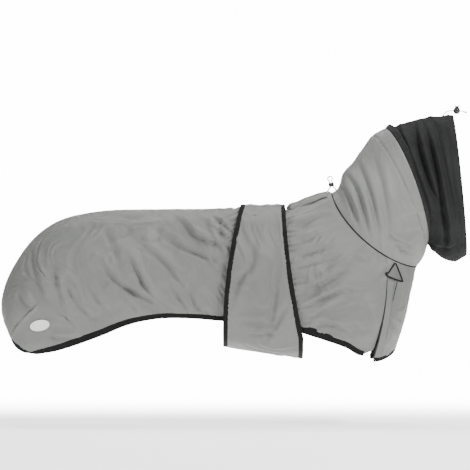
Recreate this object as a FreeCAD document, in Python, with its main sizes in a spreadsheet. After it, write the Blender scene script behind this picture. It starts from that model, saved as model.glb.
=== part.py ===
import FreeCAD, Part
import math
import os

import Sketcher
from FreeCAD import Placement, Rotation, Vector

# Sighthound rain coat with a snood, in the shape it has when worn. Millimetres, +Z up, +X to the dog's head,
# -Y to the dog's right. The origin is on the spine at the withers, where the collar starts.

doc = FreeCAD.newDocument("sighthound_coat")

# ---------------------------------------------------------------- driving dimensions
DIMENSIONS = [
    ("shell_thickness", 1.4), ("lining_thickness", 1.6), ("layer_gap", 0.4), ("seam_gap", 0.6),
    ("binding_width", 10.0), ("binding_thickness", 3.0),
    ("hip_half_width", 90.0), ("loin_half_width", 84.0), ("rear_half_width", 74.0), ("girth_half_width", 97.0),
    ("neck_half_width", 60.0), ("rim_half_width", 56.0), ("hood_half_width", 55.0), ("tuck", 0.13), ("rear_bulge", 11.0),
    ("band_thickness", 2.0), ("band_binding_width", 9.0), ("band_end_past_spine", 20.0),
    ("fastener_length", 60.0), ("fastener_thickness", 0.8), ("flap_half_width", 21.0), ("flap_thickness", 2.0),
    ("snood_cord_diameter", 2.0), ("neck_cord_diameter", 2.4), ("eyelet_radius", 2.6), ("eyelet_wire", 1.2),
    ("punched_radius", 3.4),
    ("lock_radius", 7.2), ("well_radius", 4.2), ("well_depth", 11.8), ("plunger_radius", 3.9),
    ("plunger_length", 10.0), ("plunger_head", 5.0), ("lock_window_width", 5.4), ("lock_window_height", 2.8),
    ("plunger_travel", 2.0), ("spring_wire", 0.5), ("spring_space", 2.6), ("toggle_length", 8.0),
    ("toggle_radius", 5.6),
    ("toggle_waist", 4.6), ("toggle_hole_radius", 1.6), ("toggle_hole_spacing", 4.6), ("knot_radius", 3.2),
]
sheet = doc.addObject("Spreadsheet::Sheet", "Sizes")
for row, (alias, value) in enumerate(DIMENSIONS, start=1):
    sheet.set("A%d" % row, alias)
    sheet.set("B%d" % row, str(value))
    sheet.setAlias("B%d" % row, alias)
doc.recompute()


def size(alias):
    return float(sheet.get(alias))


SHELL = size("shell_thickness")
LINING = size("lining_thickness")
GAP = size("layer_gap")
SEAM = size("seam_gap")

# ---------------------------------------------------------------- the lines that the coat is cut to
# Side-view lines are (x, z). Lines in space are (x, half width, z).
BACK_LINE = [(-665, -296), (-680, -262), (-684, -232), (-678, -200), (-664, -166), (-644, -132), (-624, -106),
             (-604, -87), (-564, -63), (-524, -52), (-464, -44), (-364, -42), (-264, -41), (-172, -38)]
BACK_HEM = [(-612, -330), (-564, -322), (-484, -295), (-424, -272), (-364, -261), (-300, -261), (-240, -266),
            (-160, -272)]
BACK_WIDTHS = ["rear_half_width", "hip_half_width", "hip_half_width", "loin_half_width", "loin_half_width",
               "girth_half_width"]
SHOULDER_EDGE = [(-172, 0, -38), (-172, 34, -45), (-172, 65, -78), (-170, 82, -130), (-166, 88, -186),
                 (-152, 84, -240), (-120, 79, -272), (-79, 79, -287), (6, 86, -315), (36, 82, -331), (61, 75, -323)]
SHOULDER_SWELL = [0, 5, 13, 19, 20, 14]
SHOULDER_DIP = [0, 8, 13, 16, 14, 7, 0]
CHEST_EDGE = [(58, 75, -347), (72, 71, -346), (92, 50, -338), (104, 26, -329), (108, 0, -324)]
THROAT, WITHERS = (151, -157), (-19, -10)
RIM_TOP, RIM_FRONT = (87, 121), (169, -117)
HOOD_TOP, HOOD_CHIN = (226, 147), (252, -133)
SLIT_ANGLE = 117
COLLAR_BACK_SWELL = [0, -4, 3, 7, 9, 10, 0]


# ---------------------------------------------------------------- curves
def smooth(points, t):
    """The point at share t of a smooth curve through points, spaced by the distances between them."""
    rows = [p if isinstance(p, (tuple, list)) else (p,) for p in points]
    if isinstance(points[0], (tuple, list)):
        steps = [math.dist(a, b) for a, b in zip(rows, rows[1:])]
    else:
        steps = [1.0] * (len(rows) - 1)
    knots = [0.0]
    for step in steps:
        knots.append(knots[-1] + step)
    where = min(max(t, 0.0), 1.0) * knots[-1]
    i = 0
    while i < len(steps) - 1 and where > knots[i + 1]:
        i += 1

    def slope(k, axis):
        lo, hi = max(k - 1, 0), min(k + 1, len(rows) - 1)
        return (rows[hi][axis] - rows[lo][axis]) / (knots[hi] - knots[lo])

    width = knots[i + 1] - knots[i]
    f = (where - knots[i]) / width
    out = []
    for axis in range(len(rows[0])):
        a, b = rows[i][axis], rows[i + 1][axis]
        ma, mb = slope(i, axis) * width, slope(i + 1, axis) * width
        out.append(a * (1 + 2 * f) * (1 - f) ** 2 + ma * f * (1 - f) ** 2
                   + b * f * f * (3 - 2 * f) + mb * f * f * (f - 1))
    return out if len(out) > 1 else out[0]


ARCH = 0.8
REAR_REACH = 0.16


def arch(v):
    """How far out and how far down a section is at share v of the way from spine to hem."""
    angle = math.pi / 2 * abs(v) ** (1 / ARCH)
    return math.sin(angle) ** ARCH, 1 - max(math.cos(angle), 0.0) ** ARCH


# ---------------------------------------------------------------- the coat's surfaces
def back(u, v):
    """The rump and loin: u runs from the rear hem to the girth, v from the right hem over the spine to the left."""
    top = smooth(BACK_LINE, u)
    hem = smooth(BACK_HEM, u)
    half = smooth([size(name) for name in BACK_WIDTHS], u)
    out, down = arch(v)
    y = half * out * (1 - size("tuck") * v ** 4)
    bulge = size("rear_bulge") * math.sin(math.pi * down) * max(1 - max(u, 0.0) / REAR_REACH, 0.0) ** 2
    return Vector(top[0] + (hem[0] - top[0]) * down - 0.54 * bulge, math.copysign(y, v),
                  top[1] + (hem[1] - top[1]) * down - 0.84 * bulge)


def ring(top, bottom, half_width, bow, bow_power, angle):
    """A tilted oval round the neck; angle 0 is its top, 90 its right side and 180 its front."""
    turn = math.radians(angle)
    share = (1 - math.cos(turn)) / 2
    dx, dz = bottom[0] - top[0], bottom[1] - top[1]
    length = math.hypot(dx, dz)
    dip = bow * abs(math.sin(turn)) ** bow_power
    return Vector(top[0] + dx * share + dip * dz / length, -half_width * math.sin(turn),
                  top[1] + dz * share - dip * dx / length)


def neck_seam(angle):
    return ring(WITHERS, THROAT, size("neck_half_width"), 31, 1.5, angle)


def shoulder(r, w):
    """From the neck seam (r 0) to the girth and the hem (r 1); w from the right slit over the spine to the left."""
    start = neck_seam(-w * SLIT_ANGLE)
    edge = smooth(SHOULDER_EDGE, abs(w))
    side = math.copysign(1, w)
    swell = smooth(SHOULDER_SWELL, abs(w)) * 4 * r * (1 - r)
    forward = 10 * abs(w) ** 3 * 4 * r * (1 - r)
    dip = smooth(SHOULDER_DIP, r) * (1 - abs(w)) ** 2
    return Vector(start.x * (1 - r) + edge[0] * r + forward, start.y * (1 - r) + side * (edge[1] * r + swell),
                  start.z * (1 - r) + edge[2] * r - dip)


def chest(r, q):
    """From the neck seam to the chest's hem; q from the right slit round the front (0) to the left slit."""
    near = 1 - abs(q)
    angle = math.copysign(SLIT_ANGLE + (180 - SLIT_ANGLE) * near, -q)
    start = neck_seam(angle)
    edge = smooth(CHEST_EDGE, near)
    side = math.copysign(1, q)
    hump = 4 * r * (1 - r)
    turn = math.sin(math.pi / 2 * abs(q))
    return Vector(start.x * (1 - r) + edge[0] * r + 10 * turn * hump,
                  start.y * (1 - r) + side * (edge[1] * r + 14 * turn * hump), start.z * (1 - r) + edge[2] * r)


def collar(r, angle):
    low = neck_seam(angle)
    high = ring(RIM_TOP, RIM_FRONT, size("rim_half_width"), -22, 1.0, angle)
    behind = max(math.cos(math.radians(angle)), 0.0) ** 2
    swell = smooth(COLLAR_BACK_SWELL, r) * behind
    front = max(-math.cos(math.radians(angle)), 0.0) ** 3 * 4 * r * (1 - r)
    wide = math.copysign(5 * 4 * r * (1 - r) * abs(math.sin(math.radians(angle))), low.y)
    return Vector(low.x * (1 - r) + high.x * r - 0.78 * swell + 6 * front, low.y * (1 - r) + high.y * r + wide,
                  low.z * (1 - r) + high.z * r + 0.63 * swell)


HOOD_INSET = 9.0


def hood(r, angle):
    """The snood, from inside the collar's rim to the opening round the face."""
    deep_top = (RIM_TOP[0] - 8 + HOOD_INSET * 0.3, RIM_TOP[1] - 6 - HOOD_INSET)
    deep_front = (RIM_FRONT[0] - 10, RIM_FRONT[1] + HOOD_INSET + 5)
    low = ring(deep_top, deep_front, size("rim_half_width") - HOOD_INSET, -20, 1.0, angle)
    high = ring(HOOD_TOP, HOOD_CHIN, size("hood_half_width"), 0, 1.0, angle)
    lift = math.sin(math.pi * max(r, 0.0) ** 0.8)
    drop = math.sin(math.pi * max(r, 0.0) ** 1.35)
    up = max(math.cos(math.radians(angle)), 0.0)
    down = max(-math.cos(math.radians(angle)), 0.0)
    return Vector(low.x * (1 - r) + high.x * r, low.y * (1 - r) + high.y * r,
                  low.z * (1 - r) + high.z * r + 13 * up * lift - 24 * down * drop)


BAND_SECTION = [(0, -33), (12, -33.8), (36, -41), (69, -73), (88, -127), (97, -185), (96, -240), (87, -285), (70, -312),
                (42, -325), (14, -329.6), (0, -330)]
BAND_HINGE_Z = -300.0
BAND_HINGE_SHARE = 0.785


def band(t, e):
    """The belly band's outer line: t 0 on the spine, 1 under the belly, 2 on the spine again by the left side."""
    share = abs(t) if t <= 1 else 2 - t
    out, z = smooth(BAND_SECTION, share)
    side = -1 if 0 <= t <= 1 else 1
    below = max(-240 - z, 0) / 90
    z -= 25 * (e - 0.5) * below
    down = min(max((BAND_SECTION[0][1] - z) / (BAND_SECTION[0][1] - BAND_HINGE_Z), 0.0), 1.0)
    rear = -201 - 38 * (1 - (1 - down) ** 2)
    front = -115 + 38 * down ** 1.6
    return Vector(rear + (front - rear) * e, side * out, z)


def hem_share(u):
    """The share v of a back section where its hem binding starts."""
    top = smooth(BACK_LINE, u)
    hem = smooth(BACK_HEM, u)
    left = (size("binding_width") / math.dist(top, hem)) ** (1 / ARCH)
    return (2 / math.pi * math.acos(left)) ** ARCH


def back_body(u, b):
    return back(u, b * (hem_share(u) - 0.003))


def back_strip(side):
    def strip(u, b):
        start = hem_share(u)
        return back(u, side * (start + (1 - start) * b))
    return strip


# ---------------------------------------------------------------- closed solids from the surfaces
def normal_at(surface, a, b, step_a, step_b):
    along = surface(a + step_a, b) - surface(a - step_a, b)
    across = surface(a, b + step_b) - surface(a, b - step_b)
    n = along.cross(across)
    return n.normalize()


def spread(low, high, count):
    return [low + (high - low) * i / (count - 1) for i in range(count)]


def edges_of(surface):
    u0, u1, v0, v1 = surface.bounds()
    return [surface.uIso(u0).toShape(), surface.uIso(u1).toShape(), surface.vIso(v0).toShape(),
            surface.vIso(v1).toShape()]


def panel(surface, a_range, b_range, counts, near, far, outward=1):
    """A closed sheet between two offsets of a surface; offsets are along its normal, positive outwards."""
    steps = [(r[1] - r[0]) / 400 for r in (a_range, b_range)]
    layers = []
    for offset in (near, far):
        rows = []
        for a in spread(*a_range, counts[0]):
            rows.append([surface(a, b) + normal_at(surface, a, b, *steps) * offset * outward
                         for b in spread(*b_range, counts[1])])
        layer = Part.BSplineSurface()
        layer.interpolate(rows)
        layers.append(layer)
    faces = [layer.toShape() for layer in layers]
    faces += [Part.makeRuledSurface(p, q) for p, q in zip(edges_of(layers[0]), edges_of(layers[1]))]
    shell = Part.makeShell(faces)
    shell.sewShape()
    solid = Part.makeSolid(shell)
    if solid.Volume < 0:
        solid.reverse()
    return solid


NODES = []


def soft(label, *solids):
    """A fabric piece: its shape is a sewn sheet that no sketch or primitive gives."""
    piece = doc.addObject("Part::Feature", label)
    piece.Label = label
    piece.Shape = solids[0] if len(solids) == 1 else Part.makeCompound(list(solids))
    piece.Placement = Placement()
    NODES.append(piece)
    return piece


IN = -1
SIDES = (("right", -1), ("left", 1))
BIND = size("binding_thickness")
UNDER = SHELL + GAP

# back panel, its lining and the elastic binding along its whole hem
REAR_SHARE = 0.012
soft("back_shell", panel(back_body, (REAR_SHARE + 0.002, 1.0), (-1, 1), (26, 21), 0, -SHELL))
soft("back_lining", panel(back_body, (REAR_SHARE + 0.002, 1.0), (-1, 1), (26, 21), -UNDER, -UNDER - LINING))
hem_strips = [panel(back, (0.0, REAR_SHARE), (-1.0, 1.0), (3, 21), 0.8, 0.8 - BIND)]
for name, side in SIDES:
    hem_strips.append(panel(back_strip(side), (REAR_SHARE + 0.002, 1.0), (0, 1), (26, 3), 0.8, 0.8 - BIND, side))
soft("back_hem_binding", *hem_strips)
# each dart is (start, end, half its width), as shares (u, v) of the back
DARTS = [((0.187, 0.728), (0.117, 0.696), (0.0, 0.008)), ((0.220, 0.833), (0.236, 0.93), (0.0025, 0.0))]


def dart(start, end, half, side):
    """A short stitched fold near the rear hem."""
    def line(a, b):
        return back(start[0] + (end[0] - start[0]) * a + half[0] * b,
                    side * (start[1] + (end[1] - start[1]) * a + half[1] * b))
    outward = math.copysign(1, normal_at(line, 0.5, 0.0, 0.01, 0.01).y * side)
    return panel(line, (0.0, 1.0), (-1.0, 1.0), (5, 3), 0.7, 1.7, outward)


soft("rump_darts", *[dart(*place, side) for place in DARTS for name, side in SIDES])

label_centre = back(0.137, -0.832)
label_normal = normal_at(back, 0.137, -0.832, 0.002, 0.002)
label_plate = doc.addObject("Part::Ellipsoid", "label_patch")
label_plate.Label = "label_patch"
label_plate.Radius1 = 0.6
label_plate.Radius2 = 20
label_plate.Radius3 = 11
label_plate.Placement = Placement(label_centre + label_normal * 1.6,
                                  Rotation(Vector(1, 0, 0.2), Vector(0, 0, 1), label_normal, "ZXY"))
NODES.append(label_plate)

# shoulder panel with the leash opening, its lining, hem binding and the welt round the opening
HEM_CUT = 0.955
OPENING_X, OPENING_LENGTH, OPENING_WIDTH = -72.0, 34.0, 9.0
PUNCH_LENGTH = 14.0
SNOOD_EYELETS = [(Vector(205.4, side * 4.8, 145.4), Vector(0.2, 0, 1)) for side in (-1, 1)]
NECK_EYELETS = [(Vector(-27.2, 0, -5.4), Vector(1.2, 0, 4.8)), (Vector(-9.8, 0, -3.0), Vector(-1.4, 0, 4.4))]


def cut_through(label, sheets, tool):
    """A sheet with an opening cut through it by the tool."""
    sheet_piece = doc.addObject("Part::Feature", label + "_sheet")
    sheet_piece.Shape = sheets
    cut = doc.addObject("Part::Cut", label)
    cut.Base = sheet_piece
    cut.Tool = tool
    cut.Label = label
    NODES.append(cut)


def slotted(label, sheets):
    """A shoulder sheet with the leash opening cut through it at the spine."""
    slot = doc.addObject("Part::Box", label + "_slot")
    slot.Length, slot.Width, slot.Height = OPENING_LENGTH, OPENING_WIDTH, 60
    slot.Placement.Base = Vector(OPENING_X - OPENING_LENGTH / 2, -OPENING_WIDTH / 2, -60)
    cut_through(label, sheets, slot)


def punched(label, sheets, places):
    """A sheet with a round hole at each eyelet; a place is the eyelet's centre and axis."""
    punches = []
    for index, (centre, axis) in enumerate(places):
        punch = doc.addObject("Part::Cylinder", "%s_punch_%d" % (label, index))
        punch.setExpression("Radius", "Sizes.punched_radius")
        punch.Height = PUNCH_LENGTH
        way = Vector(axis).normalize()
        punch.Placement = Placement(centre - way * PUNCH_LENGTH / 2, Rotation(Vector(0, 0, 1), way))
        punches.append(punch)
    tool = doc.addObject("Part::Compound", label + "_punches")
    tool.Links = punches
    cut_through(label, sheets, tool)


def shoulder_body(a, b):
    return shoulder(0.01 + (HEM_CUT - 0.01) * a, b)


slotted("shoulder_shell", panel(shoulder_body, (0, 1), (-0.99, 0.99), (17, 53), 0, -SHELL, IN))
slotted("shoulder_lining", panel(shoulder_body, (0, 1), (-0.99, 0.99), (17, 53), -UNDER, -UNDER - LINING, IN))
for name, side in SIDES:
    ends = sorted((side * 0.60, side * 0.99))
    soft("shoulder_hem_binding_" + name,
         panel(shoulder, (HEM_CUT + 0.009, 1.0), ends, (3, 21), 0.8, 0.8 - BIND, IN))


def welt(side):
    def line(a, b):
        x = OPENING_X + (a - 0.5) * (OPENING_LENGTH + 8)
        r = (-19 - x) / (-19 + 172)
        near = shoulder(r, side * 0.035)
        return Vector(x, side * (OPENING_WIDTH / 2 + 0.5 + 3.5 * b), near.z + 0.9 - 0.5 * b)
    return panel(line, (0, 1), (0, 1), (5, 3), 0.2, 1.6, side)


soft("leash_opening_welt", *[welt(side) for name, side in SIDES])

# chest panel, lining, binding and the facing strips along the two front slits
CHEST_CUT = 0.95
soft("chest_shell", panel(chest, (0.012, CHEST_CUT), (-0.985, 0.985), (13, 21), 0, -SHELL))
soft("chest_lining", panel(chest, (0.012, CHEST_CUT), (-0.985, 0.985), (13, 21), -UNDER, -UNDER - LINING))
soft("chest_hem_binding", panel(chest, (CHEST_CUT + 0.003, 1.0), (-0.985, 0.985), (3, 21), 0.8, 0.8 - BIND))
for name, side in SIDES:
    ends = sorted((side * 0.90, side * 0.985))
    soft("slit_facing_" + name, panel(chest, (0.30, 0.94), ends, (13, 5), 0.7, 1.7))


def gusset(side):
    """The three-cornered patch that strengthens the top of a slit."""
    apex = shoulder(0.012, side * 0.985)
    behind = shoulder(0.20, side * 0.86)
    ahead = chest(0.19, side * 0.83)
    def plate(a, b):
        return apex + (behind + (ahead - behind) * b - apex) * (0.06 + 0.94 * a)
    return panel(plate, (0, 1), (0, 1), (3, 3), 3.0, 4.2, -side)


for name, side in SIDES:
    soft("slit_gusset_" + name, gusset(side))

# collar, its lining that shows at the rim, the seam piping, the snood and its hem casing
ROUND = (-179.7, 179.7)
RIM = 0.965
punched("collar_shell", panel(collar, (0.012, RIM), ROUND, (9, 29), 0, -SHELL, IN), NECK_EYELETS[1:])
punched("collar_lining", panel(collar, (0.02, RIM), ROUND, (9, 29), -UNDER, -UNDER - LINING, IN), NECK_EYELETS[1:])
soft("collar_rim_binding", panel(collar, (RIM + 0.004, 1.0), ROUND, (3, 29), 0.6, 0.6 - BIND, IN))
soft("collar_seam_piping", panel(collar, (-0.006, 0.008), ROUND, (3, 29), 1.2, -1.2, IN))
HOOD_CASING_SHARE = 0.90
punched("snood", panel(hood, (0.0, HOOD_CASING_SHARE), ROUND, (11, 29), 0, -SHELL, IN), SNOOD_EYELETS)
soft("snood_hem_casing", panel(hood, (HOOD_CASING_SHARE + 0.005, 1.0), ROUND, (3, 29), 1.2, -2.2, IN))

# belly band: the part sewn to the left side and under the belly, and the free part over the right side
END_SHARE = size("band_end_past_spine") / 404
LEFT_END = 2 - 34 / 404


def band_edge(share_from, share_to):
    def strip(t, b):
        width = (band(t, 1) - band(t, 0)).Length
        share = size("band_binding_width") / width
        low = {0: 0.0, 1: share + SEAM / width, 2: 1 - share - SEAM / width, 3: 1 - share, 4: 1.0}
        return band(t, low[share_from] + (low[share_to] - low[share_from]) * b)
    return strip


BAND_T = size("band_thickness")
SEAM_SHARE = 1.30
BAND_PARTS = [("belly_band_free", [(-END_SHARE, BAND_HINGE_SHARE - 0.004)], 41),
              ("belly_band_fixed", [(BAND_HINGE_SHARE + 0.004, SEAM_SHARE), (SEAM_SHARE + 0.001, LEFT_END)], 21)]
for label, spans, count in BAND_PARTS:
    soft(label, *[panel(band_edge(1, 2), span, (0, 1), (count, 7), 0, -BAND_T) for span in spans])
    for edge, shares, ends in (("_rear_binding", (0, 1), (0.0, 0.94)), ("_front_binding", (3, 4), (0.06, 1.0))):
        soft(label + edge, *[panel(band_edge(*shares), span, ends, (count, 3), 0.6, -BAND_T - 0.6)
                             for span in spans])

TOUCH = size("fastener_thickness")
HOOK_SPAN = (-END_SHARE + 0.012, size("fastener_length") / 404 - END_SHARE)
soft("band_hook_patch", panel(lambda t, e: band(t, e), HOOK_SPAN, (0.2, 0.8), (15, 5), -BAND_T - 0.4,
                              -BAND_T - 0.4 - TOUCH))


def under_band(t, e):
    """The outer face of the coat under the band's end, on the loin side of the girth seam."""
    return back(0.955 + 0.035 * e, -t)


soft("band_loop_patch", panel(under_band, (-0.14, 0.26), (0, 1), (9, 3), 0.3, 0.3 + TOUCH))

# leash flap: a sewn base at the collar and a tongue that lifts from the leash opening
FLAP_LINE = [(-110, -28), (-103, -22.5), (-89, -22), (-66, -16), (-44, -8.6), (-27, -6)]
FLAP_HINGE_SHARE = 0.80


def flap(a, b):
    x, z = smooth(FLAP_LINE, a)
    tip = 1 - min(max(a, 0.0) / 0.22, 1.0)
    half = max(size("flap_half_width") * (1 - tip ** 2.2) ** 0.5, 5.0)
    return Vector(x, half * b, z - 0.021 * (half * b) ** 2)


FLAP_T = size("flap_thickness")
soft("leash_flap", panel(flap, (0.0, FLAP_HINGE_SHARE - 0.006), (-0.86, 0.86), (13, 9), 0, -FLAP_T))
soft("leash_flap_binding", *[panel(flap, (0.0, FLAP_HINGE_SHARE - 0.006),
                                   sorted((side * 0.88, side * 1.0)), (13, 3), 0.4, -FLAP_T - 0.4)
                             for name, side in SIDES])
soft("leash_flap_base", panel(flap, (FLAP_HINGE_SHARE + 0.006, 0.97), (-1, 1), (5, 9), 0, -FLAP_T))

# ---------------------------------------------------------------- hardware, as bodies with sketches


def plane(body, role):
    return [f for f in body.Origin.OriginFeatures if f.Role == role][0]


def new_body(label):
    body = doc.addObject("PartDesign::Body", label)
    body.Label = label
    NODES.append(body)
    return body


def sketch_on(body, name, role, height=0.0):
    sketch = body.newObject("Sketcher::SketchObject", name)
    sketch.AttachmentSupport = [(plane(body, role), "")]
    sketch.MapMode = "FlatFace"
    sketch.AttachmentOffset = Placement(Vector(0, 0, height), Rotation())
    return sketch


def bind_last(sketch, name, formula):
    sketch.renameConstraint(sketch.ConstraintCount - 1, name)
    sketch.setExpression("Constraints." + name, formula)


def add_circle(sketch, name, x, radius_formula, radius, x_formula=None):
    index = sketch.addGeometry(Part.Circle(Vector(x, 0, 0), Vector(0, 0, 1), radius))
    sketch.addConstraint(Sketcher.Constraint("Radius", index, radius))
    bind_last(sketch, name + "_radius", radius_formula)
    if x_formula is None:
        sketch.addConstraint(Sketcher.Constraint("Coincident", index, 3, -1, 1))
        return
    sketch.addConstraint(Sketcher.Constraint("PointOnObject", index, 3, -1))
    sketch.addConstraint(Sketcher.Constraint("DistanceX", -1, 1, index, 3, x))
    bind_last(sketch, name + "_place", x_formula)


def add_rectangle(sketch, name, width, height, width_formula, height_formula, middle=0.0):
    """A rectangle about the vertical axis, its middle at a height on it."""
    w, h = width / 2, height / 2
    corners = [(-w, middle - h), (w, middle - h), (w, middle + h), (-w, middle + h)]
    first = None
    for p, q in zip(corners, corners[1:] + corners[:1]):
        index = sketch.addGeometry(Part.LineSegment(Vector(*p, 0), Vector(*q, 0)))
        first = index if first is None else first
    for i in range(4):
        sketch.addConstraint(Sketcher.Constraint("Coincident", first + i, 2, first + (i + 1) % 4, 1))
    for i, kind in ((1, "Vertical"), (2, "Horizontal"), (3, "Vertical")):
        sketch.addConstraint(Sketcher.Constraint(kind, first + i))
    sketch.addConstraint(Sketcher.Constraint("Symmetric", first, 1, first, 2, -2))
    sketch.addConstraint(Sketcher.Constraint("DistanceX", first, 1, first, 2, width))
    bind_last(sketch, name + "_width", width_formula)
    sketch.addConstraint(Sketcher.Constraint("DistanceY", first + 1, 1, first + 1, 2, height))
    bind_last(sketch, name + "_height", height_formula)
    sketch.addConstraint(Sketcher.Constraint("DistanceY", -1, 1, first, 1, middle - h))


def pad(body, sketch, name, formula):
    feature = body.newObject("PartDesign::Pad", name)
    feature.Profile = sketch
    feature.setExpression("Length", formula)
    return feature


def pocket(body, sketch, name, formula):
    doc.recompute()
    before = body.Shape.Volume
    feature = body.newObject("PartDesign::Pocket", name)
    feature.Profile = sketch
    feature.setExpression("Length", formula)
    doc.recompute()
    if not body.Shape.Volume < before - 0.01:
        raise RuntimeError(name + " cuts nothing")
    return feature


# snood cord lock: a ball with a well for the plunger and a window for the two cord ends, along X
LOCK_AT = Vector(232.8, 0, 156.6)
ball = new_body("snood_lock_body")
profile = sketch_on(ball, "ball_half", "XZ_Plane")
radius = size("lock_radius")
arc = profile.addGeometry(Part.ArcOfCircle(Part.Circle(Vector(0, 0, 0), Vector(0, 0, 1), radius),
                                           -math.pi / 2, math.pi / 2))
axis_line = profile.addGeometry(Part.LineSegment(Vector(0, radius, 0), Vector(0, -radius, 0)))
profile.addConstraint(Sketcher.Constraint("Coincident", arc, 3, -1, 1))
profile.addConstraint(Sketcher.Constraint("Coincident", arc, 2, axis_line, 1))
profile.addConstraint(Sketcher.Constraint("Coincident", arc, 1, axis_line, 2))
profile.addConstraint(Sketcher.Constraint("PointOnObject", axis_line, 1, -2))
profile.addConstraint(Sketcher.Constraint("PointOnObject", axis_line, 2, -2))
profile.addConstraint(Sketcher.Constraint("Radius", arc, radius))
bind_last(profile, "ball_radius", "Sizes.lock_radius")
turned = ball.newObject("PartDesign::Revolution", "ball_round")
turned.Profile = profile
turned.ReferenceAxis = (profile, ["V_Axis"])
turned.Angle = 360
doc.recompute()
well = sketch_on(ball, "well_circle", "XY_Plane", radius)
add_circle(well, "well", 0, "Sizes.well_radius", size("well_radius"))
pocket(ball, well, "well_pocket", "Sizes.well_depth")
window = sketch_on(ball, "window_outline", "YZ_Plane", radius + 1)
add_rectangle(window, "window", size("lock_window_width"), size("lock_window_height"),
              "Sizes.lock_window_width", "Sizes.lock_window_height")
pocket(ball, window, "window_pocket", "2 * Sizes.lock_radius + 2")
ball.Placement = Placement(LOCK_AT, Rotation())

# its plunger: a pin with a taller window, so that it can be pressed 2 mm with the cords through it
plunger = new_body("snood_lock_plunger")
well_floor = radius - size("well_depth")
pin_low = well_floor + size("spring_space")
pin = sketch_on(plunger, "pin_circle", "XY_Plane", pin_low)
add_circle(pin, "pin", 0, "Sizes.plunger_radius", size("plunger_radius"))
pad(plunger, pin, "pin_pad", "Sizes.plunger_length")
head = sketch_on(plunger, "head_circle", "XY_Plane", pin_low + size("plunger_length"))
add_circle(head, "head", 0, "Sizes.plunger_head", size("plunger_head"))
pad(plunger, head, "head_pad", "Sizes.spring_wire * 3")
slot = sketch_on(plunger, "slot_outline", "YZ_Plane", radius)
add_rectangle(slot, "slot", size("lock_window_width") - 0.2, size("snood_cord_diameter") + size("plunger_travel") + 0.4,
              "Sizes.lock_window_width - 0.2", "Sizes.snood_cord_diameter + Sizes.plunger_travel + 0.4",
              size("plunger_travel") / 2)
pocket(plunger, slot, "slot_pocket", "2 * Sizes.lock_radius")
plunger.Placement = Placement(LOCK_AT, Rotation())

# the cone spring under the plunger, of square wire, whose turns nest when it is pressed flat
wire = size("spring_wire")
SPRING_RADIUS = 1.7
spring_height = size("spring_space") - wire - 0.2
spiral = Part.makeHelix(spring_height / 2.5, spring_height, SPRING_RADIUS, 35.0)
inner, outer = SPRING_RADIUS - wire / 2, SPRING_RADIUS + wire / 2
section = Part.makePolygon([Vector(inner, 0, -wire / 2), Vector(outer, 0, -wire / 2), Vector(outer, 0, wire / 2),
                            Vector(inner, 0, wire / 2), Vector(inner, 0, -wire / 2)])
coil = Part.Wire(spiral).makePipeShell([section], True, True)
spring = soft("snood_lock_spring", coil)
spring.Placement = Placement(LOCK_AT + Vector(0, 0, well_floor + wire / 2 + 0.1), Rotation())


# ---------------------------------------------------------------- cords and what is on them
def cord_tube(points, diameter):
    """Straight runs joined by tangent arcs as large as the runs allow, swept by a round section."""
    runs = []
    start = points[0]
    radii = []
    for before, corner, after in zip(points, points[1:], points[2:]):
        back_way = before - corner
        ahead = after - corner
        run = 0.45 * min(back_way.Length, ahead.Length)
        turn = math.pi - back_way.getAngle(ahead)
        radii.append(run / math.tan(turn / 2))
        a = corner + back_way.normalize() * run
        b = corner + ahead.normalize() * run
        inward = (back_way + ahead).normalize()
        middle = corner + inward * (radii[-1] / math.cos(turn / 2) - radii[-1])
        runs.append(Part.LineSegment(start, a).toShape())
        runs.append(Part.Arc(a, middle, b).toShape())
        start = b
    runs.append(Part.LineSegment(start, points[-1]).toShape())
    path = Part.Wire(runs)
    end = Part.Wire([Part.makeCircle(diameter / 2, points[0], points[1] - points[0])])
    tube = path.makePipeShell([end], True, False)
    want = math.pi * diameter ** 2 / 4 * path.Length
    print("cord length %.1f, volume %.3f of %.3f, radii %s"
          % (path.Length, tube.Volume, want, " ".join("%.1f" % r for r in radii)))
    return tube


SNOOD_CORD = [(205.0, 5.0, 143.5), (207.0, 4.0, 150.5), (214.0, 1.5, 156.6), (242.0, 1.25, 156.6),
              (247.5, 1.0, 154.4)]
for name, side in SIDES:
    route = [Vector(x, side * y, z) for x, y, z in SNOOD_CORD]
    soft("snood_cord_" + name, cord_tube(route, size("snood_cord_diameter")))
knot = doc.addObject("Part::Ellipsoid", "snood_cord_knot")
knot.Label = "snood_cord_knot"
knot.setExpression("Radius1", "Sizes.knot_radius - 0.6")
knot.setExpression("Radius2", "Sizes.knot_radius")
knot.setExpression("Radius3", "Sizes.knot_radius + 0.4")
knot.Placement = Placement(Vector(250.6, 0, 153.2), Rotation())
NODES.append(knot)

TOGGLE_AT = Vector(-20.0, 0, 7.5)
TOGGLE_TILT = -12.0


def toggle_frame(across, along):
    turn = math.radians(TOGGLE_TILT)
    return TOGGLE_AT + Vector(across * math.cos(turn) + along * math.sin(turn), 0,
                              -across * math.sin(turn) + along * math.cos(turn))


half_gap = size("toggle_hole_spacing") / 2
neck_route = [Vector(-27.4, 0, -7.6), Vector(-26.2, 0, -2.8), toggle_frame(-half_gap, -6.5),
              toggle_frame(-half_gap, 9.0), toggle_frame(-5.8, 13.0), toggle_frame(0, 18.5),
              toggle_frame(5.8, 13.0), toggle_frame(half_gap, 9.0), toggle_frame(half_gap, -6.5),
              Vector(-11.0, 0, -0.4), Vector(-9.6, 0, -4.8)]
soft("neck_cord", cord_tube(neck_route, size("neck_cord_diameter")))

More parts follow.
